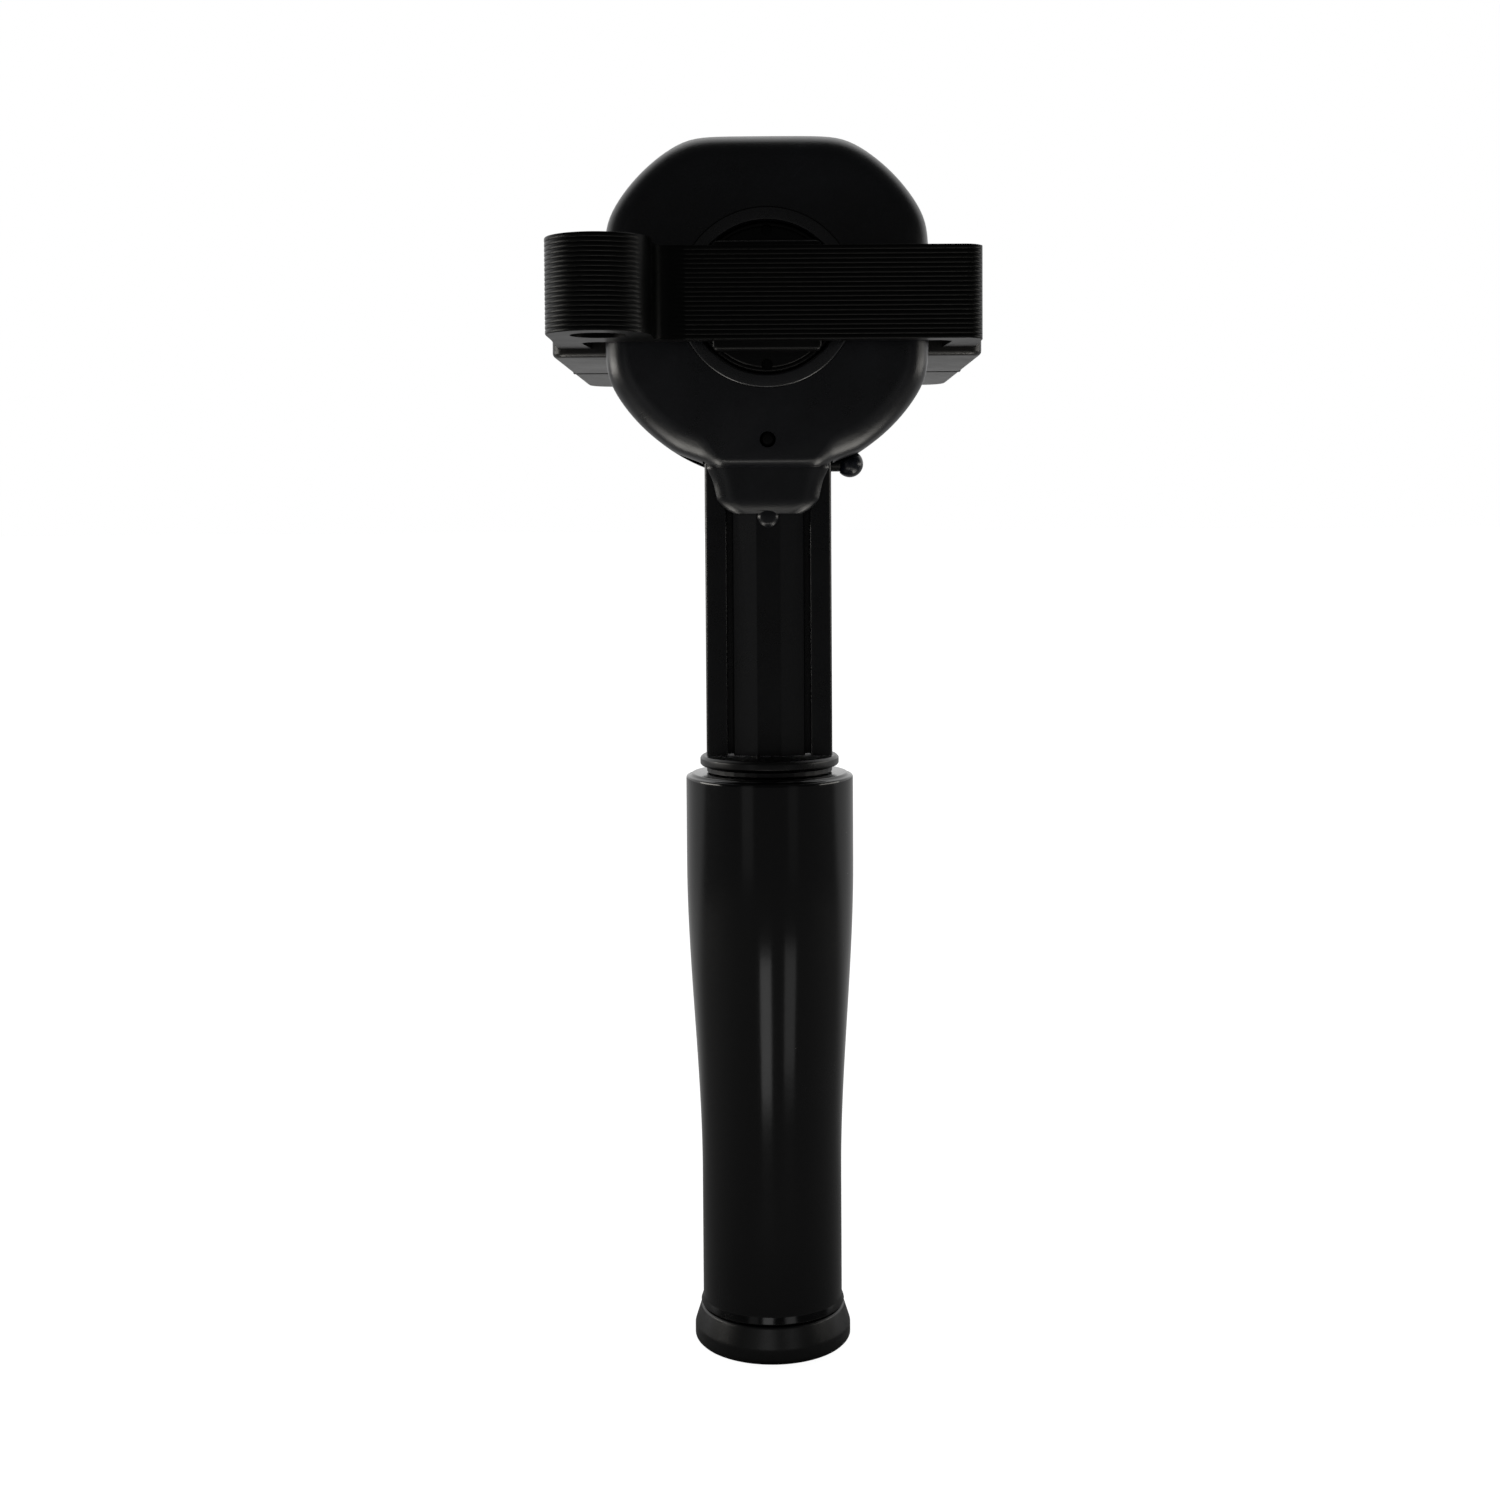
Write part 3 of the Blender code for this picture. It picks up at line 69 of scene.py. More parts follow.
# ---- Bridge -------------------------------------------------------------------------------------
LEG_INNER = 0.0353
LEG_OUTER = 0.0420
BAR_HALF_WIDTH = 0.0405
BAR_THICKNESS = 0.0045
BOSS_TO_BAR = 0.0005
BRIDGE_CORNER = 0.0035
BRIDGE_FILLET = 0.0030
EYE_HOLE_RADIUS = 0.00525
EYE_WALL = 0.00445
EYE_SEGMENTS = 40
RIB_COUNT = 20
RIB_HEIGHT = 0.00012            # how far a rib stands proud of the groove between two ribs
RIB_SHAPE = (                   # height in the rib's pitch, share of the groove's depth
    (0.0, 1.0),
    (0.10, 0.55),
    (0.26, 0.0),
    (0.80, 0.06),
    (0.93, 0.5),
    (1.0, 1.0),
)
LEG_FOOT_SHARE = 0.905          # leg's height at the block, in the bar's height
PLAIN_STRIP = (-0.0232, -0.0158)    # from the eye's fillet to the first rib

# ---- Head ---------------------------------------------------------------------------------------
HEAD_RADIUS = 0.0344
HEAD_HALF_WIDTH = 0.0314
HEAD_TOP = 0.0314
HEAD_LIP = 0.0333
HEAD_CORNER_SHARPNESS = 44.0
LIP_ROOT_X = 0.0126             # where the front rim leaves its circle for the flat lip
LIP_CORNER_X = 0.0084
LIP_ROUNDING = 0.52             # the lip's rounding, in the rim's rounding
SHOULDER_X = 0.0136             # middle of the shallow hollow above the arm
SHOULDER_WIDTH = 0.0050
SHOULDER_HOLLOW = 0.0005
HEAD_FRONT_EDGE = 0.0050
HEAD_REAR_EDGE = 0.0014
HEAD_WALL = 0.0030
GEAR_CAVITY = 0.0210
SEAM = 0.0003
SEAM_EDGE = 0.0002
NECK_STEP = 0.0012
NECK_DEPTH = 0.0028
NECK_FLAT = 0.0068              # half the flat middle of the neck's face
NECK_HEEL_DROP = 0.0385         # where the neck's foot starts to curve in
NECK_OUTLINE = (                # drop below the drive axis, half width
    (0.0290, 0.0114),
    (0.0325, 0.0121),
    (0.0335, 0.0116),
    (0.0345, 0.0111),
    (0.0358, 0.0107),
    (0.0372, 0.0104),
    (0.0386, 0.0101),
    (0.0395, 0.0094),
    (0.0403, 0.0086),
    (0.0410, 0.0076),
    (0.0413, 0.0070),
)
NUB_RADIUS = 0.0021
PAWL_POCKET_HALF = 0.0137
PAWL_PIN_DROP = 0.0271
PAWL_PIN_RADIUS = 0.0015
PIN_FIT = 0.00005               # round the pin's front end
SELECTOR_DROP = 0.0316
KNOB_WAY_RADIUS = 0.00325
KNOB_WAY_INNER = 0.01015
ROD_WAY_RADIUS = 0.0021
ARM_TOP_DROP = 0.0295
ARM_HALF = 0.0123

# ---- Hub ----------------------------------------------------------------------------------------
JOURNAL_RADIUS = 0.0144
REAR_JOURNAL_RADIUS = 0.0125
RING_WALL = 0.0023
RING_PLAY = 0.00016             # between the front ring and the disc that turns in it
RING_SEAT_PLAY = 0.00006        # between the front ring and its seat
BOSS_HALF = 0.0104
BOSS_CORNER = 0.0010
BOSS_EDGE = 0.0007
TANG_HALF = 0.0038              # of the drive's tang in the hub
TANG_CORNER = 0.0005
HUB_SCREW_WAY = (0.0038, 0.0043, 0.0023)    # head radius, head height, shank radius
DRIVE_CORNER = 0.0013
DRIVE_SHANK_RADIUS = 0.0055
KEY_HOLE_REACH = 0.0128
KEY_HOLE_RADIUS = 0.0011
TOOTH_COUNT = 24
TOOTH_TIP = 0.0190
TOOTH_ROOT = 0.0170
TOOTH_SHAPE = ((-0.28, TOOTH_ROOT), (-0.15, TOOTH_TIP), (0.15, TOOTH_TIP), (0.28, TOOTH_ROOT))

# ---- Arm and grip -------------------------------------------------------------------------------
ARM_FLANGE = 0.0042
ARM_CHANNEL = 0.0011
ARM_CHANNEL_DEPTH = 0.0040
ARM_RIDGE_HALF = 0.0023
ARM_FACET_FALL = 0.0013
ARM_FLANGE_STEP = 0.0006
PAWL_WINDOW_HALF = 0.0041
ROD_BORE_RADIUS = 0.0018
SPINDLE_BORE = 0.0048
GRIP_TOP_RADIUS = 0.0165
GRIP_WAIST_RADIUS = 0.01385
GRIP_FOOT_RADIUS = 0.0143
GRIP_TAPER = (0.0177, 0.0797)   # where the taper starts and ends, below the grip's top
GRIP_SEGMENTS = 128
PLUG_WALL = 0.0035              # between the cap's plug and the core's side

# ---- Camera -------------------------------------------------------------------------------------
CAMERA_PLACE = (-0.0004, -0.516, -0.0433)
CAMERA_LENS = 48.0
CAMERA_SENSOR = 36.0
CAMERA_PITCH = 2.66             # degrees below the horizon
CAMERA_ROLL = -0.35
CAMERA_SHIFT = (-0.0111, -0.0888)

# ---- Air and floor, as radiance -------------------------------------------------------------------
FLOOR_GAP = 0.0004
FLOOR_RADII = (0.12, 0.5, 1.5, 4.0, 12.0, 40.0)
AIR_FRONT = 0.045
AIR_BACK = 0.9
AIR_TURN = (0.0, 0.5)           # where dim air turns white, as a direction's share towards the back
AIR_SEEN = 1.0
FLOOR_GLOW = 0.97
FLOOR_BEHIND = 0.27             # glow of the floor behind the piece, as the piece sees it
FLOOR_TURN = (-0.06, 0.10)
BEIGE = (1.0, 0.97, 0.91)       # light thrown back by the table

block_low, block_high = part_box("block_front_half")
rear_low, rear_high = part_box("block_rear_half")
bridge_low, bridge_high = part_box("bridge_bar")
head_low, head_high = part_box("head_front_shell")
head_rear_low, head_rear_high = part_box("head_rear_shell")
arm_low, arm_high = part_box("arm")
hub_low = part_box("ratchet_hub")[0]
sleeve_low, sleeve_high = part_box("grip_sleeve")
cap_low, cap_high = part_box("end_cap")
collar_low, collar_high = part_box("collar_ring")
knob_low, knob_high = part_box("selector_knob")
spindle_low, spindle_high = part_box("drive_spindle")

head_front_y = head_low.y
head_rear_y = head_rear_high.y
seam_y = (head_high.y + head_rear_low.y) / 2
cavity_front_y = head_front_y + HEAD_WALL
cavity_rear_y = head_rear_y - HEAD_WALL
bar_back_y = hub_low.y - BOSS_TO_BAR
bar_front_y = hub_low.y - BOSS_TO_BAR - BAR_THICKNESS
bridge_foot_y = bridge_high.y
eye_radius = EYE_HOLE_RADIUS + EYE_WALL
eye_x = -(BAR_HALF_WIDTH - eye_radius)
eye_y = bridge_low.y + eye_radius


# ---- Node writing -------------------------------------------------------------------------------
def add_node(tree, kind, settings=None, values=None):
    """A node with its settings, and with its inputs linked from sockets or set to values."""
    made = tree.nodes.new(kind)
    for name, value in (settings or {}).items():
        setattr(made, name, value)
    for key, value in (values or {}).items():
        if isinstance(value, Wire):
            value = value.socket
        if isinstance(value, bpy.types.NodeSocket):
            tree.links.new(value, made.inputs[key])
        else:
            made.inputs[key].default_value = value
    return made


class Wire:
    """A shader socket. Arithmetic on it adds Math nodes, and node() adds any other kind."""

    def __init__(self, tree, socket=None):
        self.tree = tree
        self.socket = socket

    def node(self, kind, settings=None, values=None, output=0):
        return Wire(self.tree, add_node(self.tree, kind, settings, values).outputs[output])

    def math(self, operation, first, second=0.0):
        return self.node("ShaderNodeMath", {"operation": operation}, {0: first, 1: second})

    def __add__(self, other):
        return self.math("ADD", self, other)

    def __radd__(self, other):
        return self.math("ADD", other, self)

    def __sub__(self, other):
        return self.math("SUBTRACT", self, other)

    def __rsub__(self, other):
        return self.math("SUBTRACT", other, self)

    def __mul__(self, other):
        return self.math("MULTIPLY", self, other)

    def step(self, low, high):
        """Smoothly 0 below low and 1 above high."""
        values = {"Value": self, "From Min": low, "From Max": high}
        return self.node("ShaderNodeMapRange", {"interpolation_type": "SMOOTHSTEP"}, values)

    def noise(self, place, scale, detail=3.0, roughness=0.55):
        values = {"Vector": place, "Scale": scale, "Detail": detail, "Roughness": roughness}
        return self.node("ShaderNodeTexNoise", None, values)

    def stretched(self, place, scale, turned=(0.0, 0.0, 0.0)):
        """The place turned first and then scaled, so that the stretch follows the turned axes."""
        values = {"Vector": place, "Rotation": turned}
        around = self.node("ShaderNodeVectorRotate", {"rotation_type": "EULER_XYZ"}, values)
        return self.node("ShaderNodeMapping", None, {"Vector": around, "Scale": scale})

    def blend(self, share, first, second):
        """A colour between two colours."""
        values = {0: share, 6: first, 7: second}
        return self.node("ShaderNodeMix", {"data_type": "RGBA"}, values, 2)


def start_finish(name):
    """A new material, its writer, its shader and the place on the piece."""
    made = bpy.data.materials.new(name)
    made.use_nodes = True
    shader = made.node_tree.nodes["Principled BSDF"]
    write = Wire(made.node_tree)
    place = write.node("ShaderNodeTexCoord", None, None, "Object")
    return made, write, shader, place


def end_finish(write, shader, colour, roughness, height, distance, metallic=0.0):
    """Links what varies over the surface, with the height as a bump of a real depth in metres."""
    links = write.tree.links
    links.new(colour.socket, shader.inputs["Base Color"])
    links.new(roughness.socket, shader.inputs["Roughness"])
    bump = write.node("ShaderNodeBump", None, {"Height": height, "Distance": distance, "Strength": 1.0})
    links.new(bump.socket, shader.inputs["Normal"])
    shader.inputs["Metallic"].default_value = metallic


def shade(tone, factor=1.0):
    return (tone[0] * factor, tone[1] * factor, tone[2] * factor, 1.0)


DUST = (0.30, 0.29, 0.27, 1.0)


def dust_specks(write, place, cell, size, share):
    """Sparse round specks: one in each chosen cell of a scattered grid."""
    values = {"Vector": place, "Scale": 1.0 / cell}
    distance = write.node("ShaderNodeTexVoronoi", None, values)
    chosen = write.node("ShaderNodeTexVoronoi", None, values, "Color")
    lot = write.node("ShaderNodeSeparateColor", None, {"Color": chosen})
    near = 1.0 - distance.step(size * 0.6, size)
    return near * lot.step(1.0 - share - 0.01, 1.0 - share + 0.01)


def scratches(write, place, length, width, turned, share):
    """Fine straight marks, drawn from a noise that is long one way and narrow the others."""
    drawn = write.stretched(place, (1.0 / width, 1.0 / width, 1.0 / length), turned)
    return write.noise(drawn, 1.0, 2.0, 0.4).step(0.5 + share, 0.5 + share + 0.05)


def moulded(name, tone, roughness, grain=0.00028, grain_depth=0.000010, wear=1.0, dust=0.35, gloss=0.5):
    """Black moulded nylon: fine spark grain, flow mottling, scuffs and a little dust."""
    made, write, shader, place = start_finish(name)
    mottle = write.noise(place, 70.0, 5.0, 0.62)
    patches = write.noise(place, 420.0, 3.0, 0.6)
    fine = write.noise(place, 1.0 / grain, 2.0, 0.6)
    scuff = scratches(write, place, 0.012, 0.00030, (0.0, 0.9, 0.0), 0.20)
    scuff_across = scratches(write, place, 0.009, 0.00024, (0.0, -0.7, 0.0), 0.21)
    marks = write.math("MAXIMUM", scuff, scuff_across) * mottle.step(0.54, 0.64)
    specks = dust_specks(write, place, 0.0062, 0.030, 0.16)
    worn = patches.step(0.52, 0.75) * mottle.step(0.48, 0.66)
    colour = write.blend(mottle.step(0.3, 0.7), shade(tone, 0.78), shade(tone, 1.25))
    colour = write.blend(worn * (0.35 * wear), colour, shade(tone, 1.9))
    colour = write.blend(marks * (0.35 * wear), colour, shade(tone, 6.0))
    colour = write.blend(specks * dust, colour, DUST)
    rough = roughness + (mottle - 0.5) * 0.18 + marks * 0.06 + specks * 0.3
    rough = rough + (patches - 0.5) * 0.08
    height = fine * 0.8 + patches * 0.5 + specks * 0.3
    end_finish(write, shader, colour, rough, height, grain_depth)
    shader.inputs["Specular IOR Level"].default_value = gloss
    return made


def gripped(name, tone, roughness):
    """Smooth glossy grip: slow moulding waves, rubbed marks round and along it, and dust."""
    made, write, shader, place = start_finish(name)
    mottle = write.noise(place, 45.0, 4.0, 0.6)
    fine = write.noise(place, 900.0, 3.0, 0.6)
    wave = write.noise(place, 130.0, 2.0, 0.5)
    along = scratches(write, place, 0.016, 0.00016, (0.06, 0.04, 0.0), 0.17)
    slanted = scratches(write, place, 0.008, 0.00014, (0.5, 0.25, 0.4), 0.18)
    marks = write.math("MAXIMUM", along, slanted) * mottle.step(0.4, 0.62)
    specks = dust_specks(write, place, 0.0052, 0.040, 0.22)
    haze = mottle.step(0.50, 0.72)
    colour = write.blend(haze, shade(tone, 0.8), shade(tone, 1.3))
    colour = write.blend(marks * 0.22, colour, shade(tone, 6.0))
    colour = write.blend(specks * 0.5, colour, DUST)
    rough = roughness + haze * 0.07 + (fine - 0.5) * 0.06 + marks * 0.12 + specks * 0.3
    height = wave * 1.4 + fine * 0.35 + specks * 0.4
    end_finish(write, shader, colour, rough, height, 0.000012)
    return made


def metal(name, tone, roughness, stretch=(600.0, 600.0, 90.0)):
    """Turned or ground metal: fine tool lines, stains and handling marks."""
    made, write, shader, place = start_finish(name)
    lines = write.noise(write.stretched(place, stretch), 1.0, 4.0, 0.6)
    stains = write.noise(place, 160.0, 4.0, 0.6)
    pits = write.noise(place, 2600.0, 2.0, 0.5)
    colour = write.blend(stains.step(0.38, 0.7), shade(tone), shade(tone, 0.72))
    rough = roughness + (lines - 0.5) * 0.22 + stains.step(0.45, 0.7) * 0.12
    height = lines * 0.7 + pits * 0.5
    end_finish(write, shader, colour, rough, height, 0.000006, 1.0)
    return made


FINISHES = {
    "block": moulded("block_black_nylon", (0.0060, 0.0056, 0.0050), 0.34, 0.00034, 0.000026),
    "bridge": moulded(
        "bridge_black_nylon", (0.0007, 0.0009, 0.0008), 0.34, 0.00024, 0.000008, 0.4, 0.4, 0.18
    ),
    "head": moulded("head_black_nylon", (0.0046, 0.0053, 0.0074), 0.30, 0.00032, 0.000022, 1.2, 0.5, 0.65),
    "head_rear": moulded("head_rear_black_nylon", (0.0042, 0.0042, 0.0050), 0.34, 0.00034, 0.000024),
    "arm": moulded("arm_black_nylon", (0.0030, 0.0033, 0.0044), 0.29, 0.00036, 0.000022),
    "collar": moulded("collar_black_nylon", (0.0028, 0.0030, 0.0032), 0.30, 0.00026, 0.000016),
    "hub": moulded("hub_black_oxide", (0.0012, 0.0013, 0.0014), 0.34, 0.00030, 0.000016, 1.2, 0.35, 0.25),
    "ring": moulded("ring_black_acetal", (0.0070, 0.0076, 0.0094), 0.28, 0.00026, 0.000016, 1.0, 0.35, 0.9),
    "grip": gripped("grip_gloss_black", (0.0016, 0.0019, 0.0023), 0.14),
    "cap": moulded("cap_black_nylon", (0.0040, 0.0043, 0.0046), 0.33, 0.00030, 0.000020),
    "knob": gripped("knob_blue_black", (0.0018, 0.0030, 0.0090), 0.26),
    "core": moulded("core_grey_nylon", (0.030, 0.030, 0.030), 0.5),
    "acetal": moulded("bush_white_acetal", (0.55, 0.55, 0.52), 0.4, wear=0.0, dust=0.0),
    "washer": moulded("washer_black_acetal", (0.010, 0.010, 0.011), 0.5),
    "bronze": metal("bush_oiled_bronze", (0.42, 0.29, 0.14), 0.36),
    "steel": metal("stainless_steel", (0.58, 0.58, 0.59), 0.27),
    "drive": metal("drive_ground_steel", (0.60, 0.60, 0.61), 0.25, (90.0, 900.0, 90.0)),
    "ball": metal("bearing_steel", (0.70, 0.70, 0.71), 0.12),
    "spring": metal("spring_steel", (0.42, 0.42, 0.43), 0.32),
}


# ---- Mesh writing -------------------------------------------------------------------------------
def link_object(name, data):
    made = bpy.data.objects.new(name, data)
    bpy.context.collection.objects.link(made)
    return made


def point_object(name, points):
    """A helper object of loose points for a Geometry Nodes tree to read."""
    mesh = bpy.data.meshes.new(name)
    mesh.from_pydata(points, [], [])
    return link_object(name, mesh)


def remove_objects(*objects):
    for helper in objects:
        bpy.data.objects.remove(helper, do_unlink=True)


def add_mesh(name, points, faces):
    """An object from points and faces, merged and with its faces outwards."""
    mesh = bpy.data.meshes.new(name)
    body = bmesh.new()
    corners = [body.verts.new(point) for point in points]
    for face in faces:
        body.faces.new([corners[index] for index in face])
    bmesh.ops.remove_doubles(body, verts=body.verts, dist=0.000002)
    bmesh.ops.recalc_face_normals(body, faces=body.faces)
    body.to_mesh(mesh)
    body.free()
    return link_object(name, mesh)


def skin(first, rows, count):
    """Quads between rows of rings of points, counted from the first point."""
    faces = []
    for row in range(rows):
        low = first + row * count
        for index in range(count):
            after = (index + 1) % count
            faces.append([low + index, low + after, low + count + after, low + count + index])
    return faces


def loft(name, rings):
    """A solid skinned over rings of equal length and closed at both ends."""
    count = len(rings[0])
    points = [point for ring in rings for point in ring]
    ends = [list(range(count)), list(range(len(points) - count, len(points)))]
    return add_mesh(name, points, ends + skin(0, len(rings) - 1, count))


def rounded(corners, steps=6):
    """A closed outline from (x, y, radius) corners, each with a radius drawn as an arc."""
    outline = []
    for index, (x, y, radius) in enumerate(corners):
        corner = Vector((x, y))
        if radius == 0:
            outline.append(corner)
            continue
        before = Vector(corners[index - 1][:2])
        after = Vector(corners[(index + 1) % len(corners)][:2])
        towards_before = (before - corner).normalized()
        towards_after = (after - corner).normalized()
        half = towards_before.angle(towards_after) / 2
        centre = corner + (towards_before + towards_after).normalized() * radius / math.sin(half)
        first = corner + towards_before * radius / math.tan(half) - centre
        turn_by = first.angle_signed(corner + towards_after * radius / math.tan(half) - centre)
        for step in range(steps + 1):
            outline.append(centre + Matrix.Rotation(-turn_by * step / steps, 2) @ first)
    return outline


def inset(outline, distance):
    """The outline, drawn anticlockwise, moved inwards by a distance with mitred corners."""
    moved = []
    for index, point in enumerate(outline):
        coming = (point - outline[index - 1]).normalized()
        going = (outline[(index + 1) % len(outline)] - point).normalized()
        inward = Vector((-coming.y, coming.x))
        mitre = (inward + Vector((-going.y, going.x))).normalized()
        moved.append(point + mitre * distance / mitre.dot(inward))
    return moved


def rim(radius, start, inward, steps):
    """Depth and height of each ring of a rounded rim, from its face to its side."""
    if radius == 0:
        return [(0.0, start)]
    angles = [math.pi / 2 * step / steps for step in range(steps + 1)]
    return [
        (radius * (1 - math.sin(angle)), start + inward * radius * (1 - math.cos(angle)))
        for angle in angles
    ]


def slab(name, outline, low, high, along, low_edge=0.0, high_edge=0.0, steps=5):
    """An outline swept along Y or Z, with its rims rounded by the edge radii."""
    levels = rim(low_edge, low, 1, steps) + rim(high_edge, high, -1, steps)[::-1]
    rings = []
    for depth, height in levels:
        ring = inset(outline, depth)
        if along == "Y":
            rings.append([Vector((point.x, height, point.y)) for point in ring])
        else:
            rings.append([Vector((point.x, point.y, height)) for point in ring])
    return loft(name, rings)


def box(name, low, high):
    plan = [(low[0], low[1], 0), (high[0], low[1], 0), (high[0], high[1], 0), (low[0], high[1], 0)]
    return slab(name, rounded(plan), low[2], high[2], "Z")


def polish(made):
    """Smooth shading with crisp edges where faces meet at a real corner."""
    made.data.shade_smooth()
    made.data.set_sharp_from_angle(angle=math.radians(SHARP_ANGLE))


def to_plain_mesh(made):
    """The evaluated object as a plain mesh with no modifiers, its faces outwards."""
    evaluated = made.evaluated_get(bpy.context.evaluated_depsgraph_get())
    mesh = bpy.data.meshes.new_from_object(evaluated)
    made.modifiers.clear()
    body = bmesh.new()
    body.from_mesh(mesh)
    bmesh.ops.remove_doubles(body, verts=body.verts, dist=0.000002)
    bmesh.ops.recalc_face_normals(body, faces=body.faces)
    body.to_mesh(mesh)
    body.free()
    old = made.data
    mesh.name = made.name
    made.data = mesh
    if old.users == 0:
        bpy.data.meshes.remove(old)


def carve(target, cutters=(), joined=()):
    """Unites bodies with the target, cuts the others from it, and leaves one plain mesh."""
    for operation, others in (("UNION", joined), ("DIFFERENCE", cutters)):
        for other in others:
            change = target.modifiers.new(other.name, "BOOLEAN")
            change.operation = operation
            change.solver = "EXACT"
            change.object = other
    to_plain_mesh(target)
    remove_objects(*cutters, *joined)


def place_piece(made, body, nodes, finish):
    """Finishes a piece: its material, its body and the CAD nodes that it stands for."""
    made.data.materials.clear()
    made.data.materials.append(FINISHES[finish])
    for face in made.data.polygons:
        face.material_index = 0
    polish(made)
    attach(made, body)
    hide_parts(*nodes)


# ---- Geometry Nodes -----------------------------------------------------------------------------
class Growth:
    """A Geometry Nodes tree with named inputs."""

    def __init__(self, name, inputs):
        self.tree = bpy.data.node_groups.new(name, "GeometryNodeTree")
        self.sockets = {}
        for label, kind in inputs:
            socket = self.tree.interface.new_socket(label, in_out="INPUT", socket_type=kind)
            self.sockets[label] = socket.identifier
        self.tree.interface.new_socket("Geometry", in_out="OUTPUT", socket_type="NodeSocketGeometry")
        self.given = self.tree.nodes.new("NodeGroupInput")

    def input(self, label):
        return self.given.outputs[label]

    def node(self, kind, settings=None, values=None, output=0):
        return add_node(self.tree, kind, settings, values).outputs[output]

    def object(self, label):
        return self.node("GeometryNodeObjectInfo", None, {"Object": self.input(label)}, "Geometry")

    def math(self, operation, first, second=0.0):
        return self.node("ShaderNodeMath", {"operation": operation}, {0: first, 1: second})

    def finish(self, geometry, material):
        real = self.node("GeometryNodeRealizeInstances", None, {"Geometry": geometry})
        merged = self.node("GeometryNodeMergeByDistance", None, {"Geometry": real, "Distance": 0.000002})
        coloured = self.node("GeometryNodeSetMaterial", None, {"Geometry": merged, "Material": material})
        end = self.tree.nodes.new("NodeGroupOutput")
        self.tree.links.new(coloured, end.inputs[0])

    def grow(self, name, values):
        """A plain mesh object grown by the tree with these inputs."""
        made = link_object(name, bpy.data.meshes.new(name))
        change = made.modifiers.new("growth", "NODES")
        change.node_group = self.tree
        for label, value in values.items():
            change[self.sockets[label]] = value
        to_plain_mesh(made)
        return made


def turned_tree():
    """A profile of radius and height, turned round the Z axis."""
    tree = Growth("turned_profile", (
        ("Profile", "NodeSocketObject"),
        ("Profile Points", "NodeSocketInt"),
        ("Segments", "NodeSocketInt"),
        ("Finish", "NodeSocketMaterial"),
    ))
    columns = tree.math("ADD", tree.input("Segments"), 1.0)
    rows = tree.input("Profile Points")
    values = {"Size X": 1.0, "Size Y": 1.0, "Vertices X": columns, "Vertices Y": rows}
    grid = tree.node("GeometryNodeMeshGrid", None, values)
    place = tree.node("GeometryNodeInputPosition")
    parts = tree.node("ShaderNodeSeparateXYZ", None, {0: place})
    across = parts
    upright = parts.node.outputs["Y"]
    angle = tree.math("MULTIPLY", tree.math("ADD", across, 0.5), 2 * math.pi)
    last = tree.math("SUBTRACT", tree.input("Profile Points"), 1.0)
    row = tree.math("ROUND", tree.math("MULTIPLY", tree.math("ADD", upright, 0.5), last))
    profile = tree.object("Profile")
    profile_place = tree.node("GeometryNodeInputPosition")
    sampled = tree.node(
        "GeometryNodeSampleIndex",
        {"data_type": "FLOAT_VECTOR", "domain": "POINT"},
        {"Geometry": profile, "Value": profile_place, "Index": row},
    )
    sampled_parts = tree.node("ShaderNodeSeparateXYZ", None, {0: sampled})
    radius = sampled_parts
    height = sampled_parts.node.outputs["Z"]
    x = tree.math("MULTIPLY", radius, tree.math("COSINE", angle))
    y = tree.math("MULTIPLY", radius, tree.math("SINE", angle))
    turned_place = tree.node("ShaderNodeCombineXYZ", None, {0: x, 1: y, 2: height})
    swept = tree.node("GeometryNodeSetPosition", None, {"Geometry": grid, "Position": turned_place})
    tree.finish(swept, tree.input("Finish"))
    return tree


def ribs_tree():
    """One rib's band repeated up a bar, closed by the bar's two end faces."""
    tree = Growth("bar_ribs", (
        ("Band", "NodeSocketObject"),
        ("Ends", "NodeSocketObject"),
        ("Rib Count", "NodeSocketInt"),
        ("Pitch", "NodeSocketFloat"),
        ("Lowest", "NodeSocketFloat"),
        ("Finish", "NodeSocketMaterial"),
    ))
    start = tree.node("ShaderNodeCombineXYZ", None, {2: tree.input("Lowest")})
    offset = tree.node("ShaderNodeCombineXYZ", None, {2: tree.input("Pitch")})
    values = {"Count": tree.input("Rib Count"), "Start Location": start, "Offset": offset}
    levels = tree.node("GeometryNodeMeshLine", {"mode": "OFFSET"}, values)
    band = tree.object("Band")
    stacked = tree.node("GeometryNodeInstanceOnPoints", None, {"Points": levels, "Instance": band})
    ends = tree.object("Ends")
    both = tree.node("GeometryNodeJoinGeometry", None, {"Geometry": stacked})
    tree.tree.links.new(ends, both.node.inputs["Geometry"])
    tree.finish(both, tree.input("Finish"))
    return tree


def screws_tree():
    """One screw stood on every point of a pattern."""
    tree = Growth("screw_pattern", (
        ("Pattern", "NodeSocketObject"),
        ("Screw", "NodeSocketObject"),
        ("Finish", "NodeSocketMaterial"),
    ))
    pattern = tree.object("Pattern")
    screw = tree.object("Screw")
    stood = tree.node("GeometryNodeInstanceOnPoints", None, {"Points": pattern, "Instance": screw})
    tree.finish(stood, tree.input("Finish"))
    return tree


TURNED = turned_tree()
RIBS = ribs_tree()
SCREWS = screws_tree()
PLAIN = FINISHES["steel"]


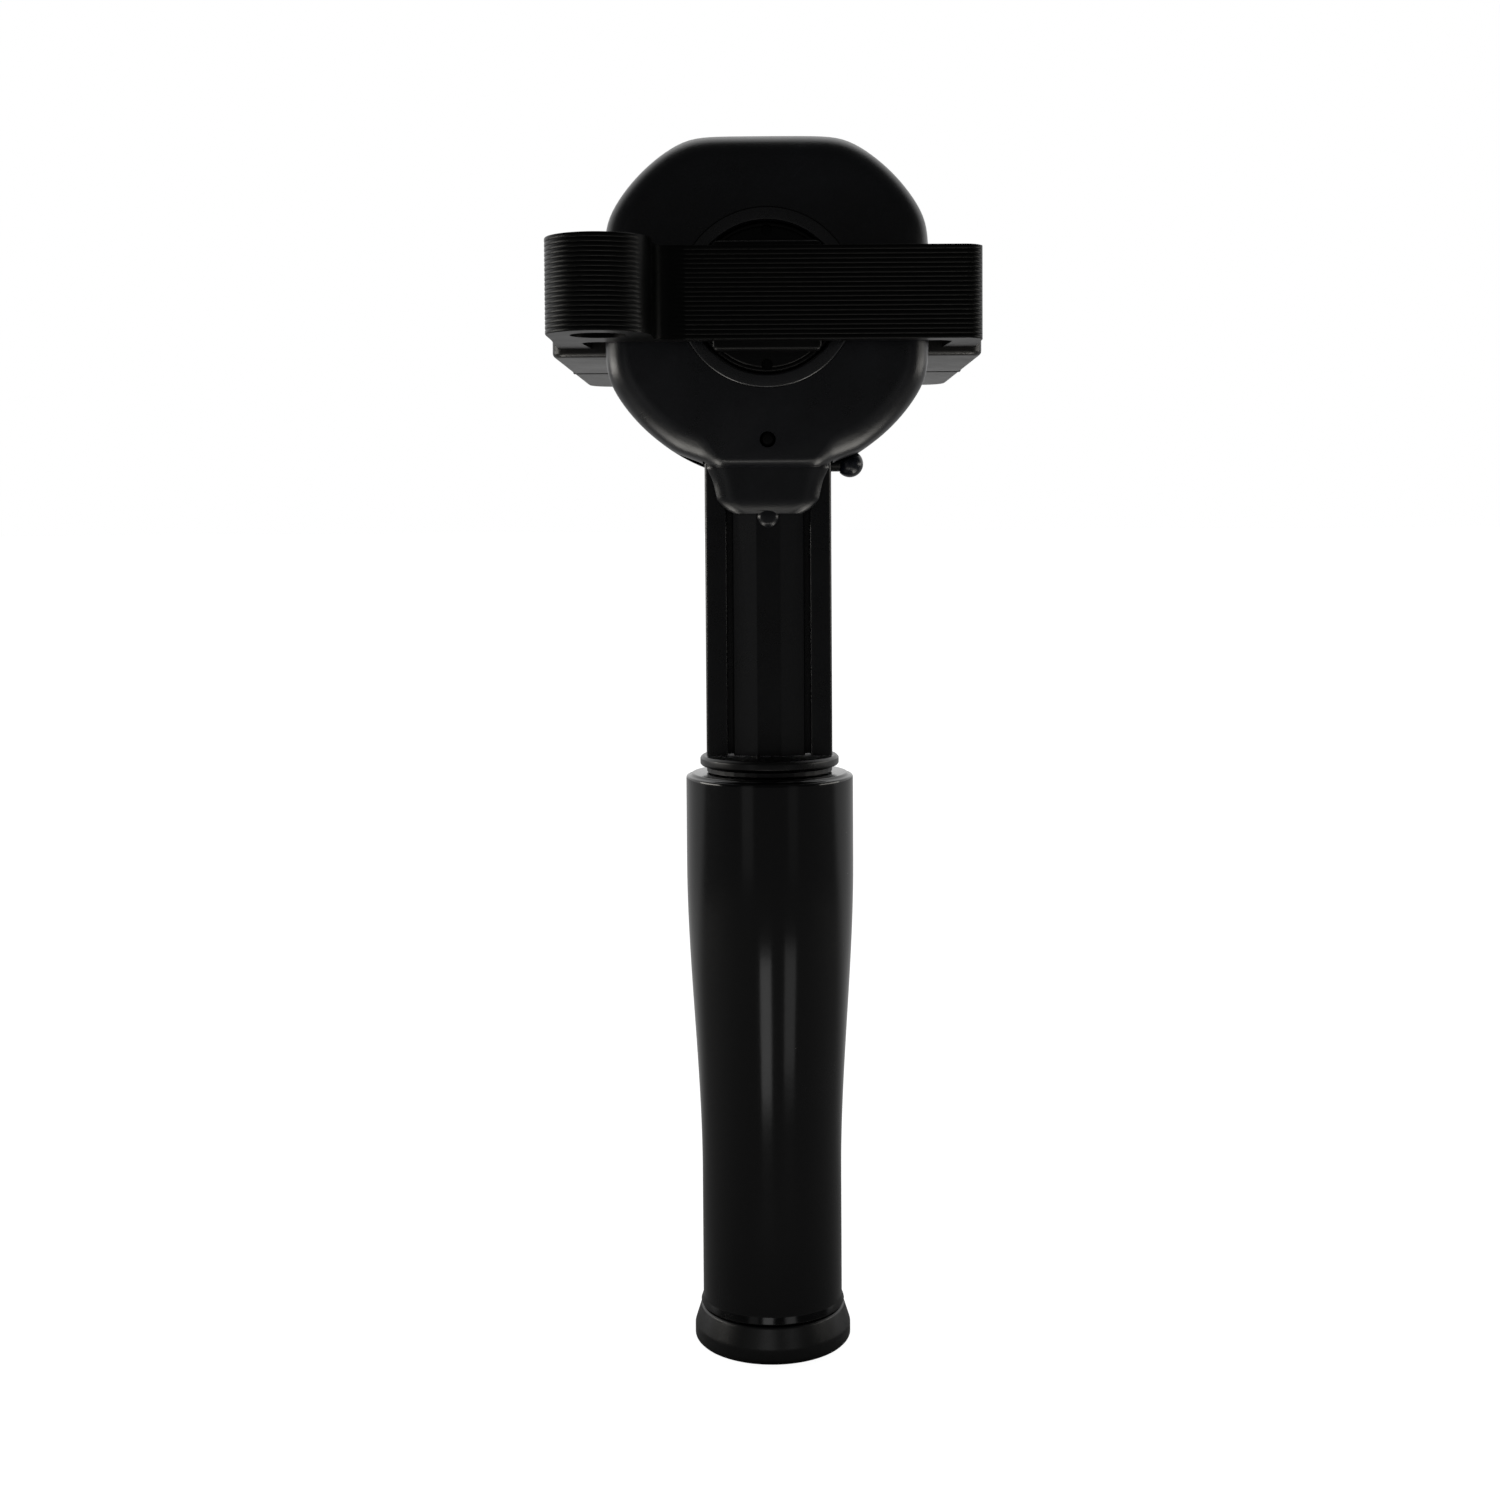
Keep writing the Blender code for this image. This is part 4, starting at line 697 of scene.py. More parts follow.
def soften(profile, radius, steps=4):
    """The profile with each inner corner of its polyline rounded by up to a radius."""
    out = [profile[0]]
    for before, corner, after in zip(profile, profile[1:], profile[2:]):
        corner = Vector(corner)
        back = Vector(before) - corner
        ahead = Vector(after) - corner
        reach = min(radius, back.length * 0.45, ahead.length * 0.45)
        bent = math.pi - back.angle(ahead)
        if reach < 0.00002 or bent < math.radians(12):
            out.append(tuple(corner))
            continue
        first = corner + back.normalized() * reach
        last = corner + ahead.normalized() * reach
        for step in range(steps + 1):
            share = step / steps
            mixed = first * (1 - share) ** 2 + corner * 2 * share * (1 - share) + last * share ** 2
            out.append(tuple(mixed))
    out.append(profile[-1])
    return out


def turned(name, profile, centre, axis, segments=96, edge=0.0003):
    """A turned solid from (radius, distance along the axis) points, grown by the turning tree."""
    closed = profile[0][0] == 0 and profile[-1][0] == 0
    points = soften(profile, edge) if closed else soften(profile + [profile[0]], edge)
    holder = point_object(name + "_profile", [(radius, 0.0, along) for radius, along in points])
    made = TURNED.grow(name, {
        "Profile": holder,
        "Profile Points": len(points),
        "Segments": segments,
        "Finish": PLAIN,
    })
    remove_objects(holder)
    turn_by = Vector((0, 0, 1)).rotation_difference(Vector(axis)).to_matrix().to_4x4()
    made.data.transform(Matrix.Translation(Vector(centre)) @ turn_by)
    return made


def rod(name, radius, start, end, segments=48):
    start = Vector(start)
    length = (Vector(end) - start).length
    profile = [(0, 0), (radius, 0), (radius, length), (0, length)]
    return turned(name, profile, start, Vector(end) - start, segments, 0.0)


def drill(name, radius, low_y, high_y, z=0.0, segments=48):
    """A rod straight back along Y."""
    return rod(name, radius, (0, low_y, z), (0, high_y, z), segments)


# ---- Bridge bar with its ribs and eye -----------------------------------------------------------
def bridge_plan():
    """The bridge seen from above, anticlockwise from the left leg's foot."""
    eye_side_x = eye_x + eye_radius
    plan = rounded([
        (-LEG_INNER, bridge_foot_y, 0),
        (-LEG_OUTER, bridge_foot_y, 0),
        (-BAR_HALF_WIDTH, bar_front_y, 0),
    ])
    steps = 30
    for step in range(steps + 1):
        angle = math.pi + math.pi * step / steps
        plan.append(Vector((eye_x + eye_radius * math.cos(angle), eye_y + eye_radius * math.sin(angle))))
    plan += rounded([
        (eye_side_x, eye_y, 0),
        (eye_side_x, bar_front_y, BRIDGE_FILLET),
        (PLAIN_STRIP[1], bar_front_y, 0),
        (PLAIN_STRIP[1] + 0.0006, bar_front_y, 0),
        (BAR_HALF_WIDTH, bar_front_y, BRIDGE_CORNER),
        (LEG_OUTER, bridge_foot_y, 0),
        (LEG_INNER, bridge_foot_y, 0),
        (LEG_INNER, bar_back_y, BRIDGE_FILLET),
        (-LEG_INNER, bar_back_y, BRIDGE_FILLET),
        (-LEG_INNER, bridge_foot_y, 0),
    ])[1:-1]
    return plan


def rib_share(point):
    """1 where the surface is ribbed, 0 where it is plain."""
    if point.y > bar_front_y + 0.0022 or PLAIN_STRIP[0] < point.x < PLAIN_STRIP[1] + 0.0002:
        return 0.0
    return 1.0


def leg_height(y):
    """Height share at a distance back from the bar, as the legs thin towards the block."""
    share = (y - bar_back_y) / (bridge_foot_y - bar_back_y)
    share = max(0.0, min(1.0, share))
    return 1 + (LEG_FOOT_SHARE - 1) * share * share * (3 - 2 * share)


def make_bridge():
    half = bridge_high.z
    pitch = 2 * half / RIB_COUNT
    plan = bridge_plan()
    hole = []
    for step in range(EYE_SEGMENTS):
        angle = -step * 2 * math.pi / EYE_SEGMENTS
        x = eye_x + EYE_HOLE_RADIUS * math.cos(angle)
        hole.append(Vector((x, eye_y + EYE_HOLE_RADIUS * math.sin(angle))))
    deep = inset(plan, RIB_HEIGHT)
    points = []
    faces = []
    for outline, shrunk in ((plan, deep), (hole, hole)):
        first = len(points)
        for height, share in RIB_SHAPE:
            for outer, inner in zip(outline, shrunk):
                mixed = outer.lerp(inner, share * rib_share(outer)) if outline is plan else outer
                points.append(Vector((mixed.x, mixed.y, height * pitch)))
        faces += skin(first, len(RIB_SHAPE) - 1, len(outline))
    band = add_mesh("bridge_band", points, faces)

    ends = bpy.data.meshes.new("bridge_ends")
    body = bmesh.new()
    for z in (-half, half):
        edges = []
        for outline, shrunk in ((plan, deep), (hole, hole)):
            ring = []
            for outer, inner in zip(outline, shrunk):
                mixed = outer.lerp(inner, rib_share(outer)) if outline is plan else outer
                ring.append(body.verts.new((mixed.x, mixed.y, z)))
            for index, vert in enumerate(ring):
                edges.append(body.edges.new((vert, ring[(index + 1) % len(ring)])))
        bmesh.ops.triangle_fill(body, edges=edges, use_beauty=True)
    body.to_mesh(ends)
    body.free()
    caps = link_object("bridge_ends", ends)
    made = RIBS.grow("ribbed_bridge", {
        "Band": band,
        "Ends": caps,
        "Rib Count": RIB_COUNT,
        "Pitch": pitch,
        "Lowest": -half,
        "Finish": FINISHES["bridge"],
    })
    remove_objects(band, caps)
    for vert in made.data.vertices:
        vert.co.z *= leg_height(vert.co.y)
    place_piece(made, "block", ["bridge_bar"], "bridge")


# ---- Bearing block ------------------------------------------------------------------------------
def make_block():
    half = block_high.z
    side = block_high.x
    front_plan = rounded([
        (-side, block_low.y, BLOCK_FRONT_CORNER),
        (side, block_low.y, BLOCK_FRONT_CORNER),
        (side, block_high.y, BLOCK_SEAM_CHAMFER),
        (-side, block_high.y, BLOCK_SEAM_CHAMFER),
    ])
    rear_plan = rounded([
        (-side, rear_low.y, BLOCK_SEAM_CHAMFER),
        (side, rear_low.y, BLOCK_SEAM_CHAMFER),
        (side, rear_high.y, BLOCK_REAR_CORNER),
        (-side, rear_high.y, BLOCK_REAR_CORNER),
    ])
    front = slab("block_front", front_plan, -half, half, "Z", BLOCK_EDGE, BLOCK_EDGE)
    rear = slab("block_rear", rear_plan, -half, half, "Z", BLOCK_EDGE, BLOCK_EDGE)
    front_cuts = [drill("bore_front", BLOCK_BORE, block_low.y - CUT_MARGIN, block_high.y + CUT_MARGIN)]
    rear_cuts = [drill("bore_rear", BLOCK_BORE, rear_low.y - CUT_MARGIN, rear_high.y + CUT_MARGIN)]
    for tag in ("left", "right"):
        front_cuts.append(screw_way("bridge_bolt_way_" + tag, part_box("bridge_bolt_" + tag), BLOCK_SCREW))
    screws = ["block_screw_%d" % number for number in range(1, 5)]
    ways = []
    for number, screw in enumerate(screws, 1):
        low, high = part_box(screw)
        front_cuts.append(screw_way("front_screw_way_%d" % number, (low, high), BLOCK_SCREW))
        rear_cuts.append(screw_way("rear_screw_way_%d" % number, (low, high), BLOCK_SCREW))
        ways.append(Vector(((low.x + high.x) / 2, high.y, 0)))
    carve(front, front_cuts)
    carve(rear, rear_cuts)
    place_piece(front, "block", ["block_front_half"], "block")
    place_piece(rear, "block", ["block_rear_half"], "block")
    screw_set("block_screws", ways, "block", screws, BLOCK_SCREW)


def way_profile(head, shoulder, shank, length):
    """The profile of a screw's stepped way, from above its head to its end."""
    return [
        (0, -WAY_START),
        (head, -WAY_START),
        (head, shoulder),
        (shank, shoulder),
        (shank, length),
        (0, length),
    ]


def screw_way(name, screw_box, sizes):
    """The stepped way of a screw that points along -Y, from its CAD box."""
    low, high = screw_box
    x = (low.x + high.x) / 2
    z = (low.z + high.z) / 2
    head = (high.x - low.x) / 2 + GAP
    radius = sizes[2] / 2 + GAP
    shoulder = sizes[1] + GAP
    length = high.y - low.y + GAP
    profile = way_profile(head, shoulder, radius, length)
    return turned(name, profile, (x, high.y, z), (0, -1, 0), SCREW_SEGMENTS, 0.0)


def hexagon_cutter(name, across, depth):
    """A hexagon key recess at the origin, open towards +Y."""
    radius = across / math.sqrt(3)
    outline = [
        Vector((radius * math.cos(math.pi / 3 * step), radius * math.sin(math.pi / 3 * step)))
        for step in range(6)
    ]
    return slab(name, outline, -depth, CUT_MARGIN, "Y")


def screw_set(name, places, body, nodes, sizes):
    """Cap screws with hexagon recesses whose head tops stand at the places and point along -Y."""
    low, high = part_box(nodes[0])
    head, head_height, shank = sizes
    length = high.y - low.y
    radius = head / 2
    profile = [
        (0, 0),
        (radius - 0.0004, 0),
        (radius, 0.0004),
        (radius, head_height),
        (shank / 2, head_height),
        (shank / 2, length),
        (0, length),
    ]
    single = turned(name + "_one", profile, (0, 0, 0), (0, -1, 0), SCREW_SEGMENTS, 0.0001)
    carve(single, [hexagon_cutter(name + "_key", head * 0.43, head_height * 0.6)])
    pattern = point_object(name + "_pattern", [tuple(place) for place in places])
    made = SCREWS.grow(name, {"Pattern": pattern, "Screw": single, "Finish": FINISHES["steel"]})
    remove_objects(single, pattern)
    place_piece(made, body, nodes, "steel")


# ---- Head casing --------------------------------------------------------------------------------
def head_outline(depth, hollow, count=168):
    """A circle flattened at its top, sides and lip, drawn in by a depth, with or without shoulders."""
    outline = []
    round_radius = HEAD_RADIUS - depth
    for index in range(count):
        angle = 2 * math.pi * index / count
        across = max(abs(math.cos(angle)), 1e-6)
        upright = max(abs(math.sin(angle)), 1e-6)
        limits = [round_radius, (HEAD_HALF_WIDTH - depth) / across]
        if math.sin(angle) > 0:
            limits.append((HEAD_TOP - depth) / upright)
        shares = [(round_radius / limit) ** HEAD_CORNER_SHARPNESS for limit in limits]
        radius = round_radius * sum(shares) ** (-1 / HEAD_CORNER_SHARPNESS)
        x = radius * math.cos(angle)
        z = radius * math.sin(angle)
        if z < 0:
            lip = depth * (LIP_ROUNDING if hollow else 1.0) - HEAD_LIP
            share = (LIP_ROOT_X - abs(x)) / (LIP_ROOT_X - LIP_CORNER_X)
            share = max(0.0, min(1.0, share))
            off = min(1.0, abs(abs(x) - SHOULDER_X) / SHOULDER_WIDTH)
            if hollow:
                z += SHOULDER_HOLLOW * (1 - off * off) ** 2
                z += (lip - z) * share * share * (3 - 2 * share)
            z = max(z, lip)
        outline.append(Vector((x, z)))
    return outline


def make_shell(name, low, high, low_edge, high_edge, hollow, steps):
    """One half of the casing, its rims rounded by the edge radii."""
    levels = rim(low_edge, low, 1, steps) + rim(high_edge, high, -1, steps)[::-1]
    rings = []
    for depth, y in levels:
        rings.append([Vector((point.x, y, point.y)) for point in head_outline(depth, hollow)])
    return loft(name, rings)


def neck_half(drop):
    """Half the neck's width at a drop below the drive axis."""
    for (low, wide), (high, narrow) in zip(NECK_OUTLINE, NECK_OUTLINE[1:]):
        if low <= drop <= high:
            return wide + (narrow - wide) * (drop - low) / (high - low)
    return NECK_OUTLINE[-1][1]


def make_neck(name, face_y, inner_y):
    """The tail that laps over the arm: a flat middle with sides that roll back."""
    start = NECK_OUTLINE[0][0]
    end = NECK_OUTLINE[-1][0]
    steps = 28
    rings = []
    for step in range(steps + 1):
        drop = start + (end - start) * step / steps
        half = neck_half(drop)
        share = max(0.0, (drop - NECK_HEEL_DROP) / (end - NECK_HEEL_DROP))
        front = face_y + (inner_y - face_y) * (0.04 * (drop - start) / (end - start) + 0.26 * share ** 2)
        depth = inner_y - front
        sense = 1 if depth > 0 else -1
        roll = min(half * 0.62, half - NECK_FLAT * half / ARM_HALF * 1.02)
        fall = abs(depth) * 0.92
        ring = [Vector((-half, inner_y, -drop)), Vector((half, inner_y, -drop))]
        side = []
        for turn_step in range(9):
            angle = math.pi / 2 * turn_step / 8
            side.append((half - roll * (1 - math.cos(angle)), front + sense * fall * (1 - math.sin(angle))))
        ring += [Vector((x, y, -drop)) for x, y in side]
        ring += [Vector((-x, y, -drop)) for x, y in reversed(side)]
        rings.append(ring)
    return loft(name, rings)


def head_cutters(tag, low_y, high_y):
    """The room inside a shell for the gear, the pawl, the arm and the selector."""
    arm_room = ARM_HALF + GAP
    pawl_low = (-PAWL_POCKET_HALF, low_y, -ARM_TOP_DROP + GAP)
    way_start = (KNOB_WAY_INNER, seam_y, -SELECTOR_DROP)
    way_end = (HEAD_RADIUS + CUT_MARGIN, seam_y, -SELECTOR_DROP)
    rod_start = (-HEAD_RADIUS, seam_y, -SELECTOR_DROP)
    return [
        drill("gear_room_" + tag, GEAR_CAVITY, low_y, high_y, 0, 96),
        box("pawl_room_" + tag, pawl_low, (PAWL_POCKET_HALF, high_y, 0)),
        box("arm_room_" + tag, (-arm_room, low_y, arm_low.z), (arm_room, high_y, -ARM_TOP_DROP + 2 * GAP)),
        rod("knob_way_" + tag, KNOB_WAY_RADIUS, way_start, way_end),
        rod("rod_way_" + tag, ROD_WAY_RADIUS, rod_start, (0, seam_y, -SELECTOR_DROP)),
    ]


def make_ring(name, profile, near, node):
    ring = turned(name, profile, (0, near, 0), (0, 1, 0), 128, 0.0002)
    place_piece(ring, "handle", [node], "ring")


def make_head():
    front = make_shell("head_front", head_front_y, seam_y - SEAM / 2, HEAD_FRONT_EDGE, SEAM_EDGE, True, 9)
    rear = make_shell("head_rear", seam_y + SEAM / 2, head_rear_y, SEAM_EDGE, HEAD_REAR_EDGE, False, 6)
    neck = make_neck("front_neck", head_front_y + NECK_STEP, head_front_y + NECK_STEP + NECK_DEPTH)
    rear_neck = make_neck("rear_neck", head_rear_y - 0.0003, cavity_rear_y - 0.0010)
    profile = [
        (0, 0),
        (NUB_RADIUS - 0.0007, 0.0001),
        (NUB_RADIUS, 0.0008),
        (NUB_RADIUS, 0.0030),
        (0, 0.0030),
    ]
    nub_place = (0, cavity_front_y - 0.0013, -NECK_OUTLINE[-1][0] - 0.0006)
    nub = turned("neck_nub", profile, nub_place, (0, 1, 0), 48, 0.0003)

    front_cuts = head_cutters("front", cavity_front_y, seam_y + CUT_MARGIN)
    rear_cuts = head_cutters("rear", seam_y - CUT_MARGIN, cavity_rear_y)
    front_wall = (head_front_y - CUT_MARGIN, cavity_front_y + CUT_MARGIN)
    rear_wall = (cavity_rear_y - CUT_MARGIN, head_rear_y + CUT_MARGIN)
    front_cuts.append(drill("ring_seat", JOURNAL_RADIUS + 2 * GAP + RING_WALL, *front_wall, 0, 96))
    rear_cuts.append(drill("rear_seat", REAR_JOURNAL_RADIUS + 2 * GAP + RING_WALL, *rear_wall, 0, 96))
    front_cuts.append(drill("pin_way_front", PAWL_PIN_RADIUS + PIN_FIT, *front_wall, -PAWL_PIN_DROP))
    rear_cuts.append(drill("pin_way_rear", PAWL_PIN_RADIUS + GAP, *rear_wall, -PAWL_PIN_DROP))
    screws = ["casing_screw_%d" % number for number in range(1, 7)]
    places = []
    for number, screw in enumerate(screws, 1):
        low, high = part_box(screw)
        places.append(Vector(((low.x + high.x) / 2, high.y, (low.z + high.z) / 2)))
        front_cuts.append(screw_way("casing_way_front_%d" % number, (low, high), CASING_SCREW))
        rear_cuts.append(screw_way("casing_way_rear_%d" % number, (low, high), CASING_SCREW))
    carve(front, front_cuts, [neck, nub])
    carve(rear, rear_cuts, [rear_neck])
    place_piece(front, "handle", ["head_front_shell"], "head")
    place_piece(rear, "handle", ["head_rear_shell"], "head_rear")
    screw_set("casing_screws", places[:4], "handle", screws[:4], CASING_SCREW)
    screw_set("neck_screws", places[4:], "handle", screws[4:], CASING_SCREW)

    low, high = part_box("hub_ring")
    depth = high.y - low.y
    inner = JOURNAL_RADIUS + RING_PLAY
    outer = JOURNAL_RADIUS + 2 * GAP + RING_WALL - RING_SEAT_PLAY
    front_edge = [(inner, 0.0003), (inner + 0.0003, 0), (outer - 0.0002, 0), (outer, 0.0003)]
    make_ring("hub_ring_front", front_edge + [(outer, depth), (inner, depth)], low.y, "hub_ring")
    low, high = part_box("hub_rear_ring")
    depth = high.y - low.y
    inner = REAR_JOURNAL_RADIUS + GAP
    outer = inner + RING_WALL
    rear_edge = [(outer, depth - 0.0004), (outer - 0.0004, depth), (inner, depth)]
    make_ring("hub_ring_rear", [(inner, 0), (outer, 0)] + rear_edge, low.y, "hub_rear_ring")

    pin_low, pin_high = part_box("pawl_pin")
    length = pin_high.y - pin_low.y
    dome = 0.0005
    profile = [
        (0, 0),
        (0.0008, 0.00006),
        (PAWL_PIN_RADIUS - 0.0001, 0.0003),
        (PAWL_PIN_RADIUS, dome + 0.0002),
        (PAWL_PIN_RADIUS, length - dome),
        (0, length),
    ]
    pin = turned("pawl_pin_domed", profile, (0, pin_low.y, -PAWL_PIN_DROP), (0, 1, 0), 48, 0.0002)
    place_piece(pin, "handle", ["pawl_pin"], "hub")


# ---- Hub ----------------------------------------------------------------------------------------
def gear_outline():
    pitch = 2 * math.pi / TOOTH_COUNT
    outline = []
    for tooth in range(TOOTH_COUNT):
        middle = -math.pi / 2 + tooth * pitch
        for share, radius in TOOTH_SHAPE:
            angle = middle + share * pitch
            outline.append(Vector((radius * math.cos(angle), radius * math.sin(angle))))
    return outline


def square_outline(half, corner, steps=6):
    corners = ((-half, -half), (half, -half), (half, half), (-half, half))
    return rounded([(x, y, corner) for x, y in corners], steps)


def make_hub():
    gear = slab("hub_turned", gear_outline(), cavity_front_y + GAP, cavity_rear_y - GAP, "Y")
    depth = HEAD_WALL + 0.0010
    disc_profile = [
        (0, 0),
        (JOURNAL_RADIUS - 0.0012, 0),
        (JOURNAL_RADIUS - 0.0010, 0.0002),
        (JOURNAL_RADIUS - 0.0008, 0),
        (JOURNAL_RADIUS - 0.0004, 0),
        (JOURNAL_RADIUS, 0.0004),
        (JOURNAL_RADIUS, depth),
        (0, depth),
    ]
    disc = turned("hub_disc", disc_profile, (0, head_front_y, 0), (0, 1, 0), 128, 0.0001)
    journal = drill("hub_journal", REAR_JOURNAL_RADIUS, cavity_rear_y - 0.0013, head_rear_y - GAP, 0, 96)
    boss_plan = square_outline(BOSS_HALF, BOSS_CORNER)
    boss = slab("hub_boss", boss_plan, hub_low.y, head_front_y + 0.0010, "Y", BOSS_EDGE)
    socket_plan = square_outline(TANG_HALF + GAP, TANG_CORNER, 2)
    socket = slab("hub_socket", socket_plan, spindle_low.y - GAP, head_rear_y + CUT_MARGIN, "Y")
    screw_low, screw_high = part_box("hub_screw")
    profile = way_profile(*HUB_SCREW_WAY, screw_high.y - screw_low.y + GAP)
    cuts = [socket, turned("hub_screw_way", profile, (0, screw_low.y, 0), (0, 1, 0), 48, 0.0)]
    for side, tag in ((-1, "low"), (1, "high")):
        place = Vector((0, head_front_y - CUT_MARGIN, side * KEY_HOLE_REACH))
        cuts.append(rod("key_hole_" + tag, KEY_HOLE_RADIUS, place, place + Vector((0, 0.0045, 0)), 32))
    carve(gear, cuts, [disc, journal, boss])
    place_piece(gear, "drive", ["ratchet_hub"], "hub")


# ---- Drive square -------------------------------------------------------------------------------
def make_drive():
    half = spindle_high.x
    shoulder_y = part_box("drive_washer")[1].y + GAP
    square_plan = square_outline(half, DRIVE_CORNER)
    square = slab("drive_square", square_plan, shoulder_y, spindle_high.y, "Y", 0.0006, 0.0012)
    shank = drill("drive_shank", DRIVE_SHANK_RADIUS, shoulder_y + 0.0010, head_rear_y, 0, 64)
    tang_plan = square_outline(TANG_HALF, TANG_CORNER, 2)
    tang = slab("drive_tang", tang_plan, spindle_low.y, head_rear_y + 0.0010, "Y", 0.0003, 0, 2)
    ball_low, ball_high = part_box("drive_detent_ball")
    ball_y = (ball_low.y + ball_high.y) / 2
    ball_x = (ball_high.x - ball_low.x) / 2 + GAP
    pocket = rod("ball_pocket", ball_x, (0, ball_y, -half / 2), (0, ball_y, half + CUT_MARGIN), 48)
    thread_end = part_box("hub_screw")[1].y + GAP
    thread = drill("screw_thread", HUB_SCREW_WAY[2], spindle_low.y - CUT_MARGIN, thread_end, 0, 32)
    carve(square, [pocket, thread], [shank, tang])
    place_piece(square, "drive", ["drive_spindle"], "drive")
    ball_place = (0, ball_y, (ball_low.z + ball_high.z) / 2)
    ball = round_ball("drive_ball", ball_place, (ball_high.x - ball_low.x) / 2)
    place_piece(ball, "drive", ["drive_detent_ball"], "ball")


def round_ball(name, centre, radius):
    steps = 24
    profile = [(0, -radius)]
    for step in range(1, steps):
        angle = math.pi * step / steps
        profile.append((radius * math.sin(angle), -radius * math.cos(angle)))
    profile.append((0, radius))
    return turned(name, profile, centre, (1, 0, 0), 48, 0.0)


# ---- Arm ----------------------------------------------------------------------------------------
def arm_outline():
    """The arm's section: a faceted middle rib, a channel and a flange each side, front and back."""
    middle = (arm_low.y + arm_high.y) / 2
    half_depth = (arm_high.y - arm_low.y) / 2
    rib = ARM_HALF - ARM_FLANGE - ARM_CHANNEL
    flange = ARM_HALF - ARM_FLANGE
    web = half_depth - ARM_CHANNEL_DEPTH
    facet = half_depth - ARM_FACET_FALL
    face = half_depth - ARM_FLANGE_STEP
    quarter = [
        (ARM_HALF, face, 0.0007),
        (flange, face, 0.00035),
        (flange, web, 0.0),
        (rib, web, 0.0),
        (rib, facet, 0.00035),
        (ARM_RIDGE_HALF, half_depth, 0.0006),
    ]
    corners = [(x, middle + y, radius) for x, y, radius in quarter]
    corners += [(-x, middle + y, radius) for x, y, radius in reversed(quarter)]
    corners += [(-x, middle - y, radius) for x, y, radius in quarter]
    corners += [(x, middle - y, radius) for x, y, radius in reversed(quarter)]
    return rounded(corners, 4)


def make_arm():
    arm = slab("channelled_arm", arm_outline(), arm_low.z, arm_high.z, "Z")
    ball_low, ball_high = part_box("selector_detent_ball")
    spring_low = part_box("selector_detent_spring")[0]
    spindle_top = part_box("grip_spindle")[1].z
    detent_x = (ball_low.x + ball_high.x) / 2
    window_low = (-PAWL_WINDOW_HALF, arm_low.y - CUT_MARGIN, -SELECTOR_DROP - ROD_WAY_RADIUS)
    window_high = (PAWL_WINDOW_HALF, arm_high.y + CUT_MARGIN, arm_high.z + CUT_MARGIN)

    def bore(name, radius, start, end, segments=32):
        return rod(name, radius, (start[0], seam_y, start[1]), (end[0], seam_y, end[1]), segments)

    cuts = [
        box("pawl_window", window_low, window_high),
        bore("rod_bore", ROD_BORE_RADIUS, (-0.0150, -SELECTOR_DROP), (0.0150, -SELECTOR_DROP)),
        bore("knob_bore", KNOB_WAY_RADIUS, (KNOB_WAY_INNER, -SELECTOR_DROP), (0.0200, -SELECTOR_DROP), 48),
        bore("detent_bore", 0.0014, (detent_x, -SELECTOR_DROP), (detent_x, spring_low.z - GAP)),
        bore("spindle_bore", SPINDLE_BORE, (0, arm_low.z - CUT_MARGIN), (0, spindle_top + GAP), 48),
    ]
    for number in (5, 6):
        screw_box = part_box("casing_screw_%d" % number)
        cuts.append(screw_way("arm_screw_way_%d" % number, screw_box, CASING_SCREW))
    carve(arm, cuts)
    place_piece(arm, "handle", ["arm"], "arm")


# ---- Selector, collar, grip and cap -------------------------------------------------------------
def make_knob():
    centre = (knob_low + knob_high) / 2
    radius = (knob_high.z - knob_low.z) / 2
    knob = round_ball("selector_ball_knob", centre, radius)
    socket_start = (centre.x - radius - CUT_MARGIN, centre.y, centre.z)
    socket_end = (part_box("selector_rod")[1].x + GAP, centre.y, centre.z)
    carve(knob, [rod("knob_socket", ROD_BORE_RADIUS, socket_start, socket_end, 32)])
    place_piece(knob, "selector", ["selector_knob"], "knob")


def sleeve_radius(drop):
    """The grip's radius at a distance below its top: wide, then waisted for the hand."""
    share = (drop - GRIP_TAPER[0]) / (GRIP_TAPER[1] - GRIP_TAPER[0])
    share = max(0.0, min(1.0, share))
    return GRIP_TOP_RADIUS + (GRIP_WAIST_RADIUS - GRIP_TOP_RADIUS) * share * share * (3 - 2 * share)


